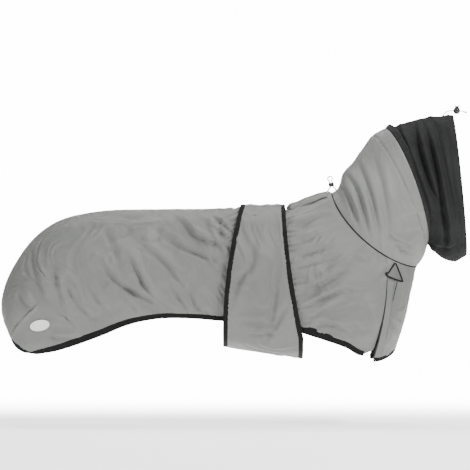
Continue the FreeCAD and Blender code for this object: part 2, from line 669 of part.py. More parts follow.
# the toggle that slides on the two legs of the neck cord
toggle = new_body("neck_toggle")
outline = sketch_on(toggle, "toggle_half", "XZ_Plane")
half_length = size("toggle_length") / 2
waist, belly = size("toggle_waist"), size("toggle_radius")
corners = [Vector(0, -half_length, 0), Vector(waist, -half_length, 0), Vector(belly, -half_length * 0.45, 0),
           Vector(belly, half_length * 0.45, 0), Vector(waist, half_length, 0), Vector(0, half_length, 0)]
for p, q in zip(corners, corners[1:] + corners[:1]):
    outline.addGeometry(Part.LineSegment(p, q))
for i in range(6):
    outline.addConstraint(Sketcher.Constraint("Coincident", i, 2, (i + 1) % 6, 1))
outline.addConstraint(Sketcher.Constraint("PointOnObject", 0, 1, -2))
outline.addConstraint(Sketcher.Constraint("PointOnObject", 4, 2, -2))
outline.addConstraint(Sketcher.Constraint("Horizontal", 0))
outline.addConstraint(Sketcher.Constraint("Horizontal", 4))
outline.addConstraint(Sketcher.Constraint("Equal", 0, 4))
outline.addConstraint(Sketcher.Constraint("DistanceY", -1, 1, 4, 2, half_length))
bind_last(outline, "top_height", "Sizes.toggle_length / 2")
outline.addConstraint(Sketcher.Constraint("DistanceY", 0, 1, -1, 1, half_length))
bind_last(outline, "bottom_depth", "Sizes.toggle_length / 2")
outline.addConstraint(Sketcher.Constraint("DistanceX", 0, 1, 0, 2, waist))
bind_last(outline, "end_radius", "Sizes.toggle_waist")
outline.addConstraint(Sketcher.Constraint("DistanceX", -1, 1, 2, 1, belly))
bind_last(outline, "full_radius", "Sizes.toggle_radius")
outline.addConstraint(Sketcher.Constraint("DistanceY", 2, 1, 2, 2, half_length * 0.9))
bind_last(outline, "flat_length", "Sizes.toggle_length * 0.45")
outline.addConstraint(Sketcher.Constraint("Symmetric", 2, 1, 2, 2, -1))
turned = toggle.newObject("PartDesign::Revolution", "toggle_round")
turned.Profile = outline
turned.ReferenceAxis = (outline, ["V_Axis"])
turned.Angle = 360
doc.recompute()
holes = sketch_on(toggle, "toggle_holes", "XY_Plane", half_length)
for label, sign in (("rear", -1), ("front", 1)):
    add_circle(holes, label, sign * half_gap, "Sizes.toggle_hole_radius", size("toggle_hole_radius"),
               "%d * Sizes.toggle_hole_spacing / 2" % sign)
pocket(toggle, holes, "toggle_hole_pocket", "Sizes.toggle_length + 1")
toggle.Placement = Placement(TOGGLE_AT, Rotation(Vector(0, 1, 0), TOGGLE_TILT))


def eyelet(label, centre, axis, index):
    """A metal ring where a cord end leaves the cloth."""
    ring_piece = doc.addObject("Part::Torus", "%s_%d" % (label, index))
    ring_piece.setExpression("Radius1", "Sizes.eyelet_radius")
    ring_piece.setExpression("Radius2", "Sizes.eyelet_wire / 2")
    ring_piece.Placement = Placement(centre, Rotation(Vector(0, 0, 1), axis))
    return ring_piece


def eyelet_pair(label, places):
    rings = [eyelet(label, centre, axis, i) for i, (centre, axis) in enumerate(places)]
    pair = doc.addObject("Part::Compound", label)
    pair.Label = label
    pair.Links = rings
    NODES.append(pair)


eyelet_pair("snood_eyelets", SNOOD_EYELETS)
eyelet_pair("neck_eyelets", NECK_EYELETS)

# ---------------------------------------------------------------- checks and files
doc.recompute()
for item in doc.Objects:
    if "Invalid" in item.State or "Error" in item.State:
        raise RuntimeError("%s did not compute: %s" % (item.Label, item.State))
os.makedirs("parts", exist_ok=True)
for piece in NODES:
    shape = piece.Shape
    if shape.isNull() or not shape.isValid() or not shape.Solids:
        raise RuntimeError("%s has no valid solid" % piece.Label)
    shape.exportStep("parts/%s.step" % piece.Label)
print("%d nodes" % len(NODES))
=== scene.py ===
import math

import bpy
import numpy as np
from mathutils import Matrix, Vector


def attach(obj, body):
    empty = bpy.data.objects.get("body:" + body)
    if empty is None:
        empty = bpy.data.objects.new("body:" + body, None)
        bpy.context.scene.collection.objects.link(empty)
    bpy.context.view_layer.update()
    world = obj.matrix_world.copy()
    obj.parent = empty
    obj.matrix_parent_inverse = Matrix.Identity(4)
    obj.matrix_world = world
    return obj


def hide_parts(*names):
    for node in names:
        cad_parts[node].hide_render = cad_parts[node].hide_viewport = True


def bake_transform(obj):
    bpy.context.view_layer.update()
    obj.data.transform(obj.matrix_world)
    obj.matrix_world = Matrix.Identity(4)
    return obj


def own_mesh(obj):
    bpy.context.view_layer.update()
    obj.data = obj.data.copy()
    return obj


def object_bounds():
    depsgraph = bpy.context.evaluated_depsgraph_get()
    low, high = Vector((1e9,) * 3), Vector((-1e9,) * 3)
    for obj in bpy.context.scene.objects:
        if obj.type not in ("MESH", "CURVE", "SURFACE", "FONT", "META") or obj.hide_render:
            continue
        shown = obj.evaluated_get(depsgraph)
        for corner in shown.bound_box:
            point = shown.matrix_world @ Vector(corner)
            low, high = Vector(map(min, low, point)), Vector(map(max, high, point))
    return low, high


# Looks of the sighthound rain coat. Shapes are worked out in millimetres from the same lines as the CAD
# part, then wrinkled, and written to meshes in metres.

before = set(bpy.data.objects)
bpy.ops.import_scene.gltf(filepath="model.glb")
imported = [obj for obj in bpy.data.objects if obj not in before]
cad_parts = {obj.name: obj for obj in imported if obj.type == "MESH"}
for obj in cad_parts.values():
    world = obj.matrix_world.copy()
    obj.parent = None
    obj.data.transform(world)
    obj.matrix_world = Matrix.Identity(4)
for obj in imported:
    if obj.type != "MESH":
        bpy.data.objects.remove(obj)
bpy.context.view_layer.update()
MM = 0.001

# ---------------------------------------------------------------- the lines that the coat is cut to
BACK_LINE = [(-665, -296), (-680, -262), (-684, -232), (-678, -200), (-664, -166), (-644, -132), (-624, -106),
             (-604, -87), (-564, -63), (-524, -52), (-464, -44), (-364, -42), (-264, -41), (-172, -38)]
BACK_HEM = [(-612, -330), (-564, -322), (-484, -295), (-424, -272), (-364, -261), (-300, -261), (-240, -266),
            (-160, -272)]
BACK_WIDTHS = [74, 90, 90, 84, 84, 97]
SHOULDER_EDGE = [(-172, 0, -38), (-172, 34, -45), (-172, 65, -78), (-170, 82, -130), (-166, 88, -186),
                 (-152, 84, -240), (-120, 79, -272), (-79, 79, -287), (6, 86, -315), (36, 82, -331),
                 (61, 75, -323)]
SHOULDER_SWELL = [0, 5, 13, 19, 20, 14]
SHOULDER_DIP = [0, 8, 13, 16, 14, 7, 0]
CHEST_EDGE = [(58, 75, -347), (72, 71, -346), (92, 50, -338), (104, 26, -329), (108, 0, -324)]
THROAT, WITHERS = (151, -157), (-19, -10)
RIM_TOP, RIM_FRONT = (87, 121), (169, -117)
HOOD_TOP, HOOD_CHIN = (226, 147), (252, -133)
SLIT_ANGLE = 117
COLLAR_BACK_SWELL = [0, -4, 3, 7, 9, 10, 0]
NECK_HALF, RIM_HALF, HOOD_HALF, TUCK, ARCH, HOOD_INSET = 60, 56, 55, 0.13, 0.8, 9
BAND_SECTION = [(0, -33), (12, -33.8), (36, -41), (69, -73), (88, -127), (97, -185), (96, -240), (87, -285),
                (70, -312), (42, -325), (14, -329.6), (0, -330)]
BAND_HINGE_Z, BAND_HINGE_SHARE = -300.0, 0.785
BAND_GIRTH_HALF = 404
BAND_END, BAND_FAR_END = -20 / BAND_GIRTH_HALF, 2 - 34 / BAND_GIRTH_HALF
FLAP_LINE = [(-110, -28), (-103, -22.5), (-89, -22), (-66, -16), (-44, -8.6), (-27, -6)]
FLAP_HALF = 21
OPENING_X, OPENING_LENGTH, OPENING_WIDTH = -72.0, 34.0, 9.0
BINDING = 10.0
REAR_BULGE, REAR_REACH = 11.0, 0.16
LABEL_SHARES, LABEL_HALF = (0.137, -0.832), (20, 11)


# ---------------------------------------------------------------- curves and surfaces, for arrays of shares
def smooth(points, t):
    """The points at shares t of a smooth curve through points, spaced by the distances between them."""
    rows = np.array(points, float)
    t = np.asarray(t, float)
    flat = rows.ndim == 1
    if flat:
        rows = rows[:, None]
        steps = np.ones(len(rows) - 1)
    else:
        steps = np.linalg.norm(np.diff(rows, axis=0), axis=1)
    knots = np.concatenate([[0.0], np.cumsum(steps)])
    where = np.clip(t, 0, 1) * knots[-1]
    i = np.clip(np.searchsorted(knots, where, side="right") - 1, 0, len(steps) - 1)
    k = np.arange(len(rows))
    lo, hi = np.maximum(k - 1, 0), np.minimum(k + 1, len(rows) - 1)
    slope = (rows[hi] - rows[lo]) / (knots[hi] - knots[lo])[:, None]
    width = steps[i][..., None]
    f = (where - knots[i])[..., None] / width
    out = (rows[i] * (1 + 2 * f) * (1 - f) ** 2 + slope[i] * width * f * (1 - f) ** 2
           + rows[i + 1] * f * f * (3 - 2 * f) + slope[i + 1] * width * f * f * (f - 1))
    return out[..., 0] if flat else out


def stack(x, y, z):
    return np.stack(np.broadcast_arrays(x, y, z), axis=-1)


def back(u, v):
    top, hem = smooth(BACK_LINE, u), smooth(BACK_HEM, u)
    half = smooth(BACK_WIDTHS, u)
    angle = math.pi / 2 * np.abs(v) ** (1 / ARCH)
    out = np.sin(angle) ** ARCH
    down = 1 - np.maximum(np.cos(angle), 0) ** ARCH
    y = np.sign(v) * half * out * (1 - TUCK * v ** 4)
    bulge = REAR_BULGE * np.sin(math.pi * down) * np.maximum(1 - np.maximum(u, 0) / REAR_REACH, 0) ** 2
    return stack(top[..., 0] + (hem[..., 0] - top[..., 0]) * down - 0.54 * bulge, y,
                 top[..., 1] + (hem[..., 1] - top[..., 1]) * down - 0.84 * bulge)


def hem_share(u):
    gap = np.linalg.norm(smooth(BACK_LINE, u) - smooth(BACK_HEM, u), axis=-1)
    return (2 / math.pi * np.arccos((BINDING / gap) ** (1 / ARCH))) ** ARCH


def back_body(u, b):
    return back(u, b * (hem_share(u) + 0.004))


def ring(top, bottom, half, bow, bow_power, angle):
    turn = np.radians(angle)
    share = (1 - np.cos(turn)) / 2
    dx, dz = bottom[0] - top[0], bottom[1] - top[1]
    length = math.hypot(dx, dz)
    dip = bow * np.abs(np.sin(turn)) ** bow_power
    return stack(top[0] + dx * share + dip * dz / length, -half * np.sin(turn),
                 top[1] + dz * share - dip * dx / length)


def neck_seam(angle):
    return ring(WITHERS, THROAT, NECK_HALF, 31, 1.5, angle)


def shoulder(r, w):
    start = neck_seam(-w * SLIT_ANGLE)
    edge = smooth(SHOULDER_EDGE, np.abs(w))
    hump = 4 * r * (1 - r)
    swell = smooth(SHOULDER_SWELL, np.abs(w)) * hump
    dip = smooth(SHOULDER_DIP, r) * (1 - np.abs(w)) ** 2
    return stack(start[..., 0] * (1 - r) + edge[..., 0] * r + 10 * np.abs(w) ** 3 * hump,
                 start[..., 1] * (1 - r) + np.sign(w) * (edge[..., 1] * r + swell),
                 start[..., 2] * (1 - r) + edge[..., 2] * r - dip)


def chest(r, q):
    near = 1 - np.abs(q)
    angle = np.where(q > 0, -1, 1) * (SLIT_ANGLE + (180 - SLIT_ANGLE) * near)
    start = neck_seam(angle)
    edge = smooth(CHEST_EDGE, near)
    hump = 4 * r * (1 - r)
    turn = np.sin(math.pi / 2 * np.abs(q))
    return stack(start[..., 0] * (1 - r) + edge[..., 0] * r + 10 * turn * hump,
                 start[..., 1] * (1 - r) + np.sign(q) * (edge[..., 1] * r + 14 * turn * hump),
                 start[..., 2] * (1 - r) + edge[..., 2] * r)


def collar(r, angle):
    low = neck_seam(angle)
    high = ring(RIM_TOP, RIM_FRONT, RIM_HALF, -22, 1.0, angle)
    turn = np.radians(angle)
    swell = smooth(COLLAR_BACK_SWELL, r) * np.maximum(np.cos(turn), 0) ** 2
    front = np.maximum(-np.cos(turn), 0) ** 3 * 4 * r * (1 - r)
    wide = np.sign(low[..., 1]) * 5 * 4 * r * (1 - r) * np.abs(np.sin(turn))
    return stack(low[..., 0] * (1 - r) + high[..., 0] * r - 0.78 * swell + 6 * front,
                 low[..., 1] * (1 - r) + high[..., 1] * r + wide,
                 low[..., 2] * (1 - r) + high[..., 2] * r + 0.63 * swell)


def hood(r, angle):
    deep_top = (RIM_TOP[0] - 8 + HOOD_INSET * 0.3, RIM_TOP[1] - 6 - HOOD_INSET)
    deep_front = (RIM_FRONT[0] - 10, RIM_FRONT[1] + HOOD_INSET + 5)
    low = ring(deep_top, deep_front, RIM_HALF - HOOD_INSET, -20, 1.0, angle)
    high = ring(HOOD_TOP, HOOD_CHIN, HOOD_HALF, 0, 1.0, angle)
    lift = np.sin(math.pi * np.clip(r, 0, 1) ** 0.8)
    drop = np.sin(math.pi * np.clip(r, 0, 1) ** 1.35)
    up = np.maximum(np.cos(np.radians(angle)), 0)
    down = np.maximum(-np.cos(np.radians(angle)), 0)
    return stack(low[..., 0] * (1 - r) + high[..., 0] * r, low[..., 1] * (1 - r) + high[..., 1] * r,
                 low[..., 2] * (1 - r) + high[..., 2] * r + 13 * up * lift - 24 * down * drop)


def band(t, e):
    share = np.where(t <= 1, np.abs(t), 2 - t)
    section = smooth(BAND_SECTION, share)
    out, z = section[..., 0], section[..., 1]
    side = np.where((t >= 0) & (t <= 1), -1, 1)
    z = z - 25 * (e - 0.5) * np.maximum(-240 - z, 0) / 90
    down = np.clip((BAND_SECTION[0][1] - z) / (BAND_SECTION[0][1] - BAND_HINGE_Z), 0, 1)
    rear = -201 - 38 * (1 - (1 - down) ** 2)
    front = -115 + 38 * down ** 1.6
    return stack(rear + (front - rear) * e, side * out, z)


def flap(a, b):
    line = smooth(FLAP_LINE, a)
    tip = 1 - np.clip(a / 0.22, 0, 1)
    half = np.maximum(FLAP_HALF * (1 - tip ** 2.2) ** 0.5, 2.0)
    return stack(line[..., 0], half * b, line[..., 1] - 0.021 * (half * b) ** 2)


# ---------------------------------------------------------------- wrinkles
LATTICE = np.random.RandomState(7).rand(65536)


def value_noise(p):
    """Smooth noise from 0 to 1 at points p, the same on every run."""
    cell = np.floor(p).astype(np.int64)
    f = p - cell
    f = f * f * (3 - 2 * f)
    total = 0
    for dx in (0, 1):
        for dy in (0, 1):
            for dz in (0, 1):
                key = ((cell[..., 0] + dx) * 73856093) ^ ((cell[..., 1] + dy) * 19349663) \
                    ^ ((cell[..., 2] + dz) * 83492791)
                weight = (f[..., 0] if dx else 1 - f[..., 0]) * (f[..., 1] if dy else 1 - f[..., 1]) \
                    * (f[..., 2] if dz else 1 - f[..., 2])
                total = total + LATTICE[key & 65535] * weight
    return total


def creases(p, tilt, long, short, seed=0.0):
    """Sharp ridges along a direction tilted in the side view; long and short are their sizes in mm."""
    warp = value_noise(p / 70 + seed + 3.1) - 0.5
    turn = math.radians(tilt) + warp * 0.9
    along = p[..., 0] * np.cos(turn) + p[..., 2] * np.sin(turn)
    across = -p[..., 0] * np.sin(turn) + p[..., 2] * np.cos(turn)
    q = np.stack([along / long, across / short, p[..., 1] / (short * 2.2)], axis=-1) + seed
    n = value_noise(q)
    fine = value_noise(q * 2.3 + 11)
    return (1 - np.abs(2 * n - 1)) ** 2 - 0.35 + 0.35 * ((1 - np.abs(2 * fine - 1)) ** 2 - 0.35)


def soft(p, scale, seed=0.0):
    return value_noise(p / scale + seed) - 0.5


def fold_lines(p, lines):
    """Folds drawn as lines (points, width, height) in the side view: a crest beside a sharp valley."""
    total = np.zeros(p.shape[:-1])
    for points, width, height in lines:
        track = smooth(points, np.linspace(0, 1, 15))
        best = np.full(p.shape[:-1], 1e9)
        signed = np.zeros(p.shape[:-1])
        place = np.zeros(p.shape[:-1])
        for k in range(len(track) - 1):
            a, d = track[k], track[k + 1] - track[k]
            px, pz = p[..., 0] - a[0], p[..., 2] - a[1]
            s = np.clip((px * d[0] + pz * d[1]) / (d @ d), 0, 1)
            gap = np.hypot(px - s * d[0], pz - s * d[1])
            side = np.sign(d[0] * pz - d[1] * px)
            closer = gap < best
            best = np.where(closer, gap, best)
            signed = np.where(closer, gap * side, signed)
            place = np.where(closer, (k + s) / (len(track) - 1), place)
        q = signed / width
        taper = np.clip(np.sin(math.pi * np.clip(place, 0.02, 0.98)), 0, 1) ** 0.7
        end = np.exp(-np.maximum(best / width - 3, 0))
        total += height * taper * end * (np.exp(-(q - 0.8) ** 2 * 1.1) - 0.9 * np.exp(-(q + 0.35) ** 2 * 4))
    return total


# ---------------------------------------------------------------- meshes
def normals_of(p, outward):
    along = np.gradient(p, axis=0)
    across = np.gradient(p, axis=1)
    n = np.cross(along, across)
    n /= np.maximum(np.linalg.norm(n, axis=-1, keepdims=True), 1e-9)
    return n * outward


def lengths_along(p, axis):
    steps = np.linalg.norm(np.diff(p, axis=axis), axis=-1)
    pad = np.zeros_like(np.take(steps, [0], axis=axis))
    return np.cumsum(np.concatenate([pad, steps], axis=axis), axis=axis)


def build_mesh(name, points, faces, uvs, material, sharp=50):
    mesh = bpy.data.meshes.new(name)
    mesh.from_pydata((points * MM).tolist(), [], faces)
    layer = mesh.uv_layers.new(name="cloth")
    loops = np.zeros(len(mesh.loops), np.int64)
    mesh.loops.foreach_get("vertex_index", loops)
    layer.data.foreach_set("uv", (uvs[loops] * MM).astype(np.float32).ravel())
    mesh.materials.append(material)
    mesh.shade_smooth()
    mesh.set_sharp_from_angle(angle=math.radians(sharp))
    mesh.update()
    piece = bpy.data.objects.new(name, mesh)
    bpy.context.scene.collection.objects.link(piece)
    return piece


def cloth(name, surface, a_range, b_range, counts, outward, material, thickness=1.0, offset=0.0, relief=None,
          skip=None):
    """A closed sheet of cloth: its outer face is the surface, offset and wrinkled by relief in mm."""
    a, b = np.meshgrid(np.linspace(*a_range, counts[0]), np.linspace(*b_range, counts[1]), indexing="ij")
    base = surface(a, b)
    n = normals_of(base, outward)
    height = offset + (relief(base, a, b) if relief else 0.0)
    outer = base + n * np.broadcast_to(height, a.shape)[..., None]
    inner = outer - normals_of(outer, outward) * thickness
    na, nb = a.shape
    index = np.arange(na * nb).reshape(na, nb)
    solid = np.ones((na - 1, nb - 1), bool)
    if skip is not None:
        middle = (base[:-1, :-1] + base[1:, 1:]) / 2
        solid = ~skip(middle)
    i, j = np.nonzero(solid)
    quads = np.stack([index[i, j], index[i + 1, j], index[i + 1, j + 1], index[i, j + 1]], axis=1)
    if outward < 0:
        quads = quads[:, ::-1]
    edges = {}
    for quad in quads.tolist():
        for p, q in zip(quad, quad[1:] + quad[:1]):
            if (q, p) in edges:
                del edges[(q, p)]
            else:
                edges[(p, q)] = True
    shift = na * nb
    walls = [[q, p, p + shift, q + shift] for p, q in edges]
    faces = quads.tolist() + (quads[:, ::-1] + shift).tolist() + walls
    points = np.concatenate([outer.reshape(-1, 3), inner.reshape(-1, 3)])
    uv = np.stack([lengths_along(base, 0), lengths_along(base, 1)], axis=-1).reshape(-1, 2)
    uvs = np.concatenate([uv, uv])
    if skip is not None:
        used = np.unique(np.array(faces))
        renumber = np.full(len(points), -1)
        renumber[used] = np.arange(len(used))
        points, uvs = points[used], uvs[used]
        faces = renumber[np.array(faces)].tolist()
    return build_mesh(name, points, faces, uvs, material)


def rows_at(at, place, rows):
    """The rows' values at the distances at, where place holds each row's own distance."""
    return np.stack([np.interp(at, place, column) for column in rows.T], axis=-1)


def resample(path, normals, spacing):
    steps = np.linalg.norm(np.diff(path, axis=0), axis=1)
    place = np.concatenate([[0], np.cumsum(steps)])
    at = np.linspace(0, place[-1], max(int(place[-1] / spacing), 4))
    even_normals = rows_at(at, place, normals)
    even_normals /= np.linalg.norm(even_normals, axis=1, keepdims=True)
    return rows_at(at, place, path), even_normals, at


def tape(name, path, normals, width, thickness, material, ripple=0.35, sides=14, spacing=2.0, closed=False):
    """A folded binding tape along a path: a flat oval section with the small puckers of elastic."""
    path, normals, place = resample(path, normals, spacing)
    tangent = np.gradient(path, axis=0)
    tangent /= np.linalg.norm(tangent, axis=1, keepdims=True)
    across = np.cross(normals, tangent)
    across /= np.linalg.norm(across, axis=1, keepdims=True)
    lift = np.cross(tangent, across)
    widths = np.interp(place / place[-1], np.linspace(0, 1, len(np.atleast_1d(width))), np.atleast_1d(width))
    turn = np.arange(sides) / sides * 2 * math.pi
    c, s = [np.sign(wave) * np.abs(wave) ** 0.55 for wave in (np.cos(turn), np.sin(turn))]
    pucker = ripple * (value_noise(np.stack([place / 5.0, place * 0, place * 0 + 0.5], axis=1)) - 0.5) \
        + ripple * 0.5 * np.sin(place * 2 * math.pi / 7.0)
    points = (path[:, None, :] + across[:, None, :] * (widths / 2)[:, None, None] * c[None, :, None]
              + lift[:, None, :] * ((thickness / 2 + pucker)[:, None] * s[None, :])[..., None])
    index = np.arange(len(path) * sides).reshape(-1, sides)
    rings = np.concatenate([index, index[:1]]) if closed else index
    corners = [rings[:-1], rings[1:], np.roll(rings[1:], -1, axis=1), np.roll(rings[:-1], -1, axis=1)]
    faces = np.stack(corners[::-1], axis=-1).reshape(-1, 4).tolist()
    if not closed:
        faces += [index[0][::-1].tolist(), index[-1].tolist()]
    around = turn / (2 * math.pi) * 24
    uvs = np.stack(np.broadcast_arrays(place[:, None], around[None, :]), axis=-1).reshape(-1, 2)
    return build_mesh(name, points.reshape(-1, 3), faces, uvs, material, sharp=70)


def stitches(name, path, normals, material, length=3.2, gap=1.4, width=0.75, height=0.5):
    """A row of lock stitches: short rounded dashes that sit on the cloth."""
    path, normals, place = resample(path, normals, 0.8)
    starts = np.arange(2.0, place[-1] - length - 2.0, length + gap)
    points, faces, uvs = [], [], []
    shape = [(0.0, 0.1, 0.2), (0.18, 0.9, 0.9), (0.82, 0.9, 0.9), (1.0, 0.1, 0.2)]
    for start in starts:
        first = len(points)
        for share, wide, high in shape:
            at = start + share * length
            centre, n = rows_at(at, place, path), rows_at(at, place, normals)
            side = np.cross(n, rows_at(at + 0.5, place, path) - centre)
            side /= max(np.linalg.norm(side), 1e-9)
            for ds, dn in ((-1, -0.6), (-0.7, 0.8), (0.7, 0.8), (1, -0.6)):
                points.append(centre + side * ds * wide * width / 2 + n * dn * high * height)
                uvs.append((at, ds))
        for k in range(3):
            for m in range(4):
                low, ahead, n = first + 4 * k, first + 4 * (k + 1), (m + 1) % 4
                faces.append([low + m, ahead + m, ahead + n, low + n])
        faces.append([first, first + 1, first + 2, first + 3])
        faces.append([first + 15, first + 14, first + 13, first + 12])
    return build_mesh(name, np.array(points), faces, np.array(uvs, float), material, sharp=80)


def edge_path(surface, a, b, outward, offset=0.0):
    """Points along a line on a surface, with the surface's normals there; a and b are arrays."""
    step = 1e-3
    scale_a = step * max(np.ptp(a), 1.0)
    scale_b = step * max(np.ptp(b), 1.0)
    along = surface(a + scale_a, b) - surface(a - scale_a, b)
    across = surface(a, b + scale_b) - surface(a, b - scale_b)
    n = np.cross(along, across)
    n /= np.linalg.norm(n, axis=-1, keepdims=True)
    n *= outward
    return surface(a, b) + n * offset, n


# ---------------------------------------------------------------- materials
def new_node(nodes, kind, **values):
    """A new shader node with some of its inputs set."""
    node = nodes.new("ShaderNode" + kind)
    for name, value in values.items():
        node.inputs[name].default_value = value
    return node


def map_node(nodes, start, end):
    """A node that maps the range start to the range end."""
    node = nodes.new("ShaderNodeMapRange")
    for name, value in zip(("From Min", "From Max", "To Min", "To Max"), (*start, *end)):
        node.inputs[name].default_value = value
    return node


def new_material(name, rough, sheen=0.0, spec=0.5):
    material = bpy.data.materials.new(name)
    material.use_nodes = True
    nodes = material.node_tree.nodes
    shader = nodes["Principled BSDF"]
    shader.inputs["Roughness"].default_value = rough
    shader.inputs["Specular IOR Level"].default_value = spec
    if sheen:
        shader.inputs["Sheen Weight"].default_value = sheen
        shader.inputs["Sheen Roughness"].default_value = 0.5
    return material, nodes, material.node_tree.links, shader


def woven(name, low, high, rough, drift, ribs, grain, strength, depth, sheen=0.0, spec=0.5, metal=0.0):
    """A material whose colour drifts between two tones, with ribs and grain as its bump.

    drift and grain are a noise's scale and detail; each rib is a wave's scale, direction and distortion.
    """
    material, nodes, links, shader = new_material(name, rough, sheen, spec)
    shader.inputs["Metallic"].default_value = metal
    place = nodes.new("ShaderNodeTexCoord")

    def noise(scale, detail):
        node = new_node(nodes, "TexNoise", Scale=scale, Detail=detail)
        links.new(place.outputs["Object"], node.inputs["Vector"])
        return node.outputs["Fac"]

    ramp = nodes.new("ShaderNodeValToRGB")
    for element, position, colour in zip(ramp.color_ramp.elements, (0.3, 0.7), (low, high)):
        element.position = position
        element.color = (*colour, 1)
    links.new(noise(*drift), ramp.inputs["Fac"])
    links.new(ramp.outputs["Color"], shader.inputs["Base Color"])
    total = noise(*grain)
    for scale, direction, distortion in ribs:
        wave = new_node(nodes, "TexWave", Scale=scale, Distortion=distortion)
        wave.bands_direction = direction
        links.new(place.outputs["UV"], wave.inputs["Vector"])
        plus = nodes.new("ShaderNodeMath")
        links.new(total, plus.inputs[0])
        links.new(wave.outputs["Fac"], plus.inputs[1])
        total = plus.outputs[0]
    bump = new_node(nodes, "Bump", Strength=strength, Distance=depth)
    links.new(total, bump.inputs["Height"])
    links.new(bump.outputs["Normal"], shader.inputs["Normal"])
    return material


def nylon(name, low, high, weave=1100.0):
    """Plain-woven coated nylon: a fine weave, faint crush marks and a soft sheen."""
    ribs = [(weave, "X", 0.4), (weave, "Y", 0.4)]
    return woven(name, low, high, 0.46, (14.0, 4.0), ribs, (90.0, 5.0), 0.22, 0.0005, sheen=0.08)


def ribbed(name, low, high, ribs, rough):
    """Woven tape: ribs across its length over a fine grain."""
    return woven(name, low, high, rough, (120.0, 3.0), [(ribs, "X", 0.3)], (900.0, 2.0), 0.5, 0.0006,
                 sheen=0.02, spec=0.2)


GREY = nylon("grey_nylon", (0.108, 0.113, 0.104), (0.128, 0.133, 0.122))
# the belly band's nylon is the grey nylon made a little darker: painted shade
GREY_BAND_PAINTED_SHADE = nylon("grey_nylon_band_painted_shade", (0.104, 0.109, 0.100), (0.121, 0.126, 0.117))
# the collar's nylon is the grey nylon made lighter: painted light
GREY_COLLAR_PAINTED_LIGHT = nylon("grey_nylon_collar_painted_light", (0.123, 0.128, 0.119), (0.142, 0.148, 0.138))
# a darker copy of the grey nylon for the slit's gusset: painted shade
GREY_PAINTED_SHADE = nylon("grey_nylon_painted_shade", (0.070, 0.073, 0.069), (0.090, 0.093, 0.089), 900.0)
THREAD = ribbed("grey_thread", (0.09, 0.094, 0.09), (0.12, 0.124, 0.12), 900.0, 0.6)
# a black for the thin lines along the slit, where the chest panel's edge lies over the side panel: painted shadow
SHADOW_LINE_BLACK = ribbed("painted_shadow_black", (0.012, 0.012, 0.012), (0.02, 0.02, 0.02), 900.0, 0.6)
TAPE = ribbed("black_tape", (0.0025, 0.0026, 0.0025), (0.005, 0.0052, 0.005), 420.0, 0.85)
TOUCH_TAPE = ribbed("touch_tape", (0.018, 0.018, 0.019), (0.03, 0.03, 0.031), 700.0, 0.9)
CORD = ribbed("braided_cord", (0.006, 0.006, 0.006), (0.016, 0.016, 0.016), 500.0, 0.6)
LABEL = ribbed("plain_label", (0.74, 0.74, 0.73), (0.82, 0.82, 0.81), 1500.0, 0.6)
KNIT = woven("charcoal_knit", (0.0085, 0.0090, 0.0088), (0.0140, 0.0148, 0.0146), 0.8, (30.0, 4.0),
             [(160.0, "Y", 1.2)], (600.0, 3.0), 0.35, 0.0006, spec=0.2)
FLEECE = woven("dark_fleece", (0.010, 0.0105, 0.0105), (0.017, 0.0175, 0.0175), 0.95, (160.0, 5.0), [],
               (420.0, 6.0), 0.8, 0.002, sheen=0.15, spec=0.1)
PLASTIC = woven("lock_plastic", (0.010, 0.010, 0.010), (0.016, 0.016, 0.016), 0.3, (300.0, 2.0), [],
                (1500.0, 2.0), 0.15, 0.0002)
EYELET = woven("black_eyelet", (0.05, 0.05, 0.05), (0.08, 0.08, 0.08), 0.35, (500.0, 2.0), [], (2500.0, 2.0),
               0.1, 0.0001, metal=1.0)
STEEL = woven("spring_steel", (0.5, 0.5, 0.5), (0.62, 0.62, 0.62), 0.3, (500.0, 2.0), [], (2500.0, 2.0),
              0.1, 0.0001, metal=1.0)


# ---------------------------------------------------------------- the folds of each panel
DART_LINES = [([(-606, -231), (-622, -246), (-637, -261)], 2.6, 2.4),
              ([(-573, -243), (-545, -262), (-520, -288)], 2.6, 2.0),
              ([(-637, -261), (-650, -276), (-660, -294)], 4, 1.2)]
BACK_FOLDS = [
    ([(-488, -142), (-446, -186), (-384, -222), (-340, -246)], 9, 4.2),
    ([(-427, -132), (-412, -158), (-388, -202), (-332, -246)], 8, 3.8),
    ([(-408, -104), (-354, -148), (-312, -202)], 9, 3.2),
    ([(-372, -84), (-322, -114), (-270, -136), (-230, -154)], 9, 4.0),
    ([(-326, -64), (-286, -98), (-226, -116)], 8, 3.6),
    ([(-306, -206), (-286, -238), (-244, -258)], 7, 3.2),
    ([(-262, -54), (-240, -70), (-214, -92)], 5, 2.6),
    ([(-262, -76), (-240, -90), (-218, -104)], 5, 2.0),
    ([(-620, -124), (-606, -174), (-590, -226)], 12, 2.4),
    ([(-576, -150), (-564, -200), (-552, -240)], 11, 2.6),
    ([(-552, -174), (-538, -212), (-496, -262)], 10, 2.8),
    ([(-516, -176), (-490, -220), (-450, -262)], 10, 2.2),
    ([(-592, -280), (-572, -296), (-520, -298)], 8, 2.4),
    ([(-646, -198), (-632, -226), (-610, -244)], 9, 2.2),
    ([(-470, -86), (-452, -122), (-440, -166)], 12, 1.8),
    ([(-350, -190), (-322, -222), (-300, -250)], 8, 2.2),
    ([(-452, -200), (-424, -228), (-396, -252)], 8, 2.0),
]
SHOULDER_FOLDS = [
    ([(-88, -242), (-46, -222), (16, -194)], 8, 3.4),
    ([(-94, -206), (-46, -190), (10, -156)], 9, 2.4),
    ([(-98, -158), (-58, -146), (-10, -134)], 8, 2.0),
    ([(-101, -134), (-62, -128), (-20, -112)], 7, 1.6),
    ([(-106, -104), (-70, -100), (-30, -90)], 8, 1.6),
    ([(-108, -74), (-70, -66), (-44, -52)], 7, 1.8),
    ([(-70, -272), (-30, -268), (20, -290)], 10, 1.8),
    ([(20, -210), (50, -240), (58, -290)], 12, 1.6),
]
CHEST_FOLDS = [
    ([(112, -178), (104, -240), (88, -300)], 10, 1.8),
    ([(128, -190), (120, -236), (112, -280)], 9, 1.4),
]
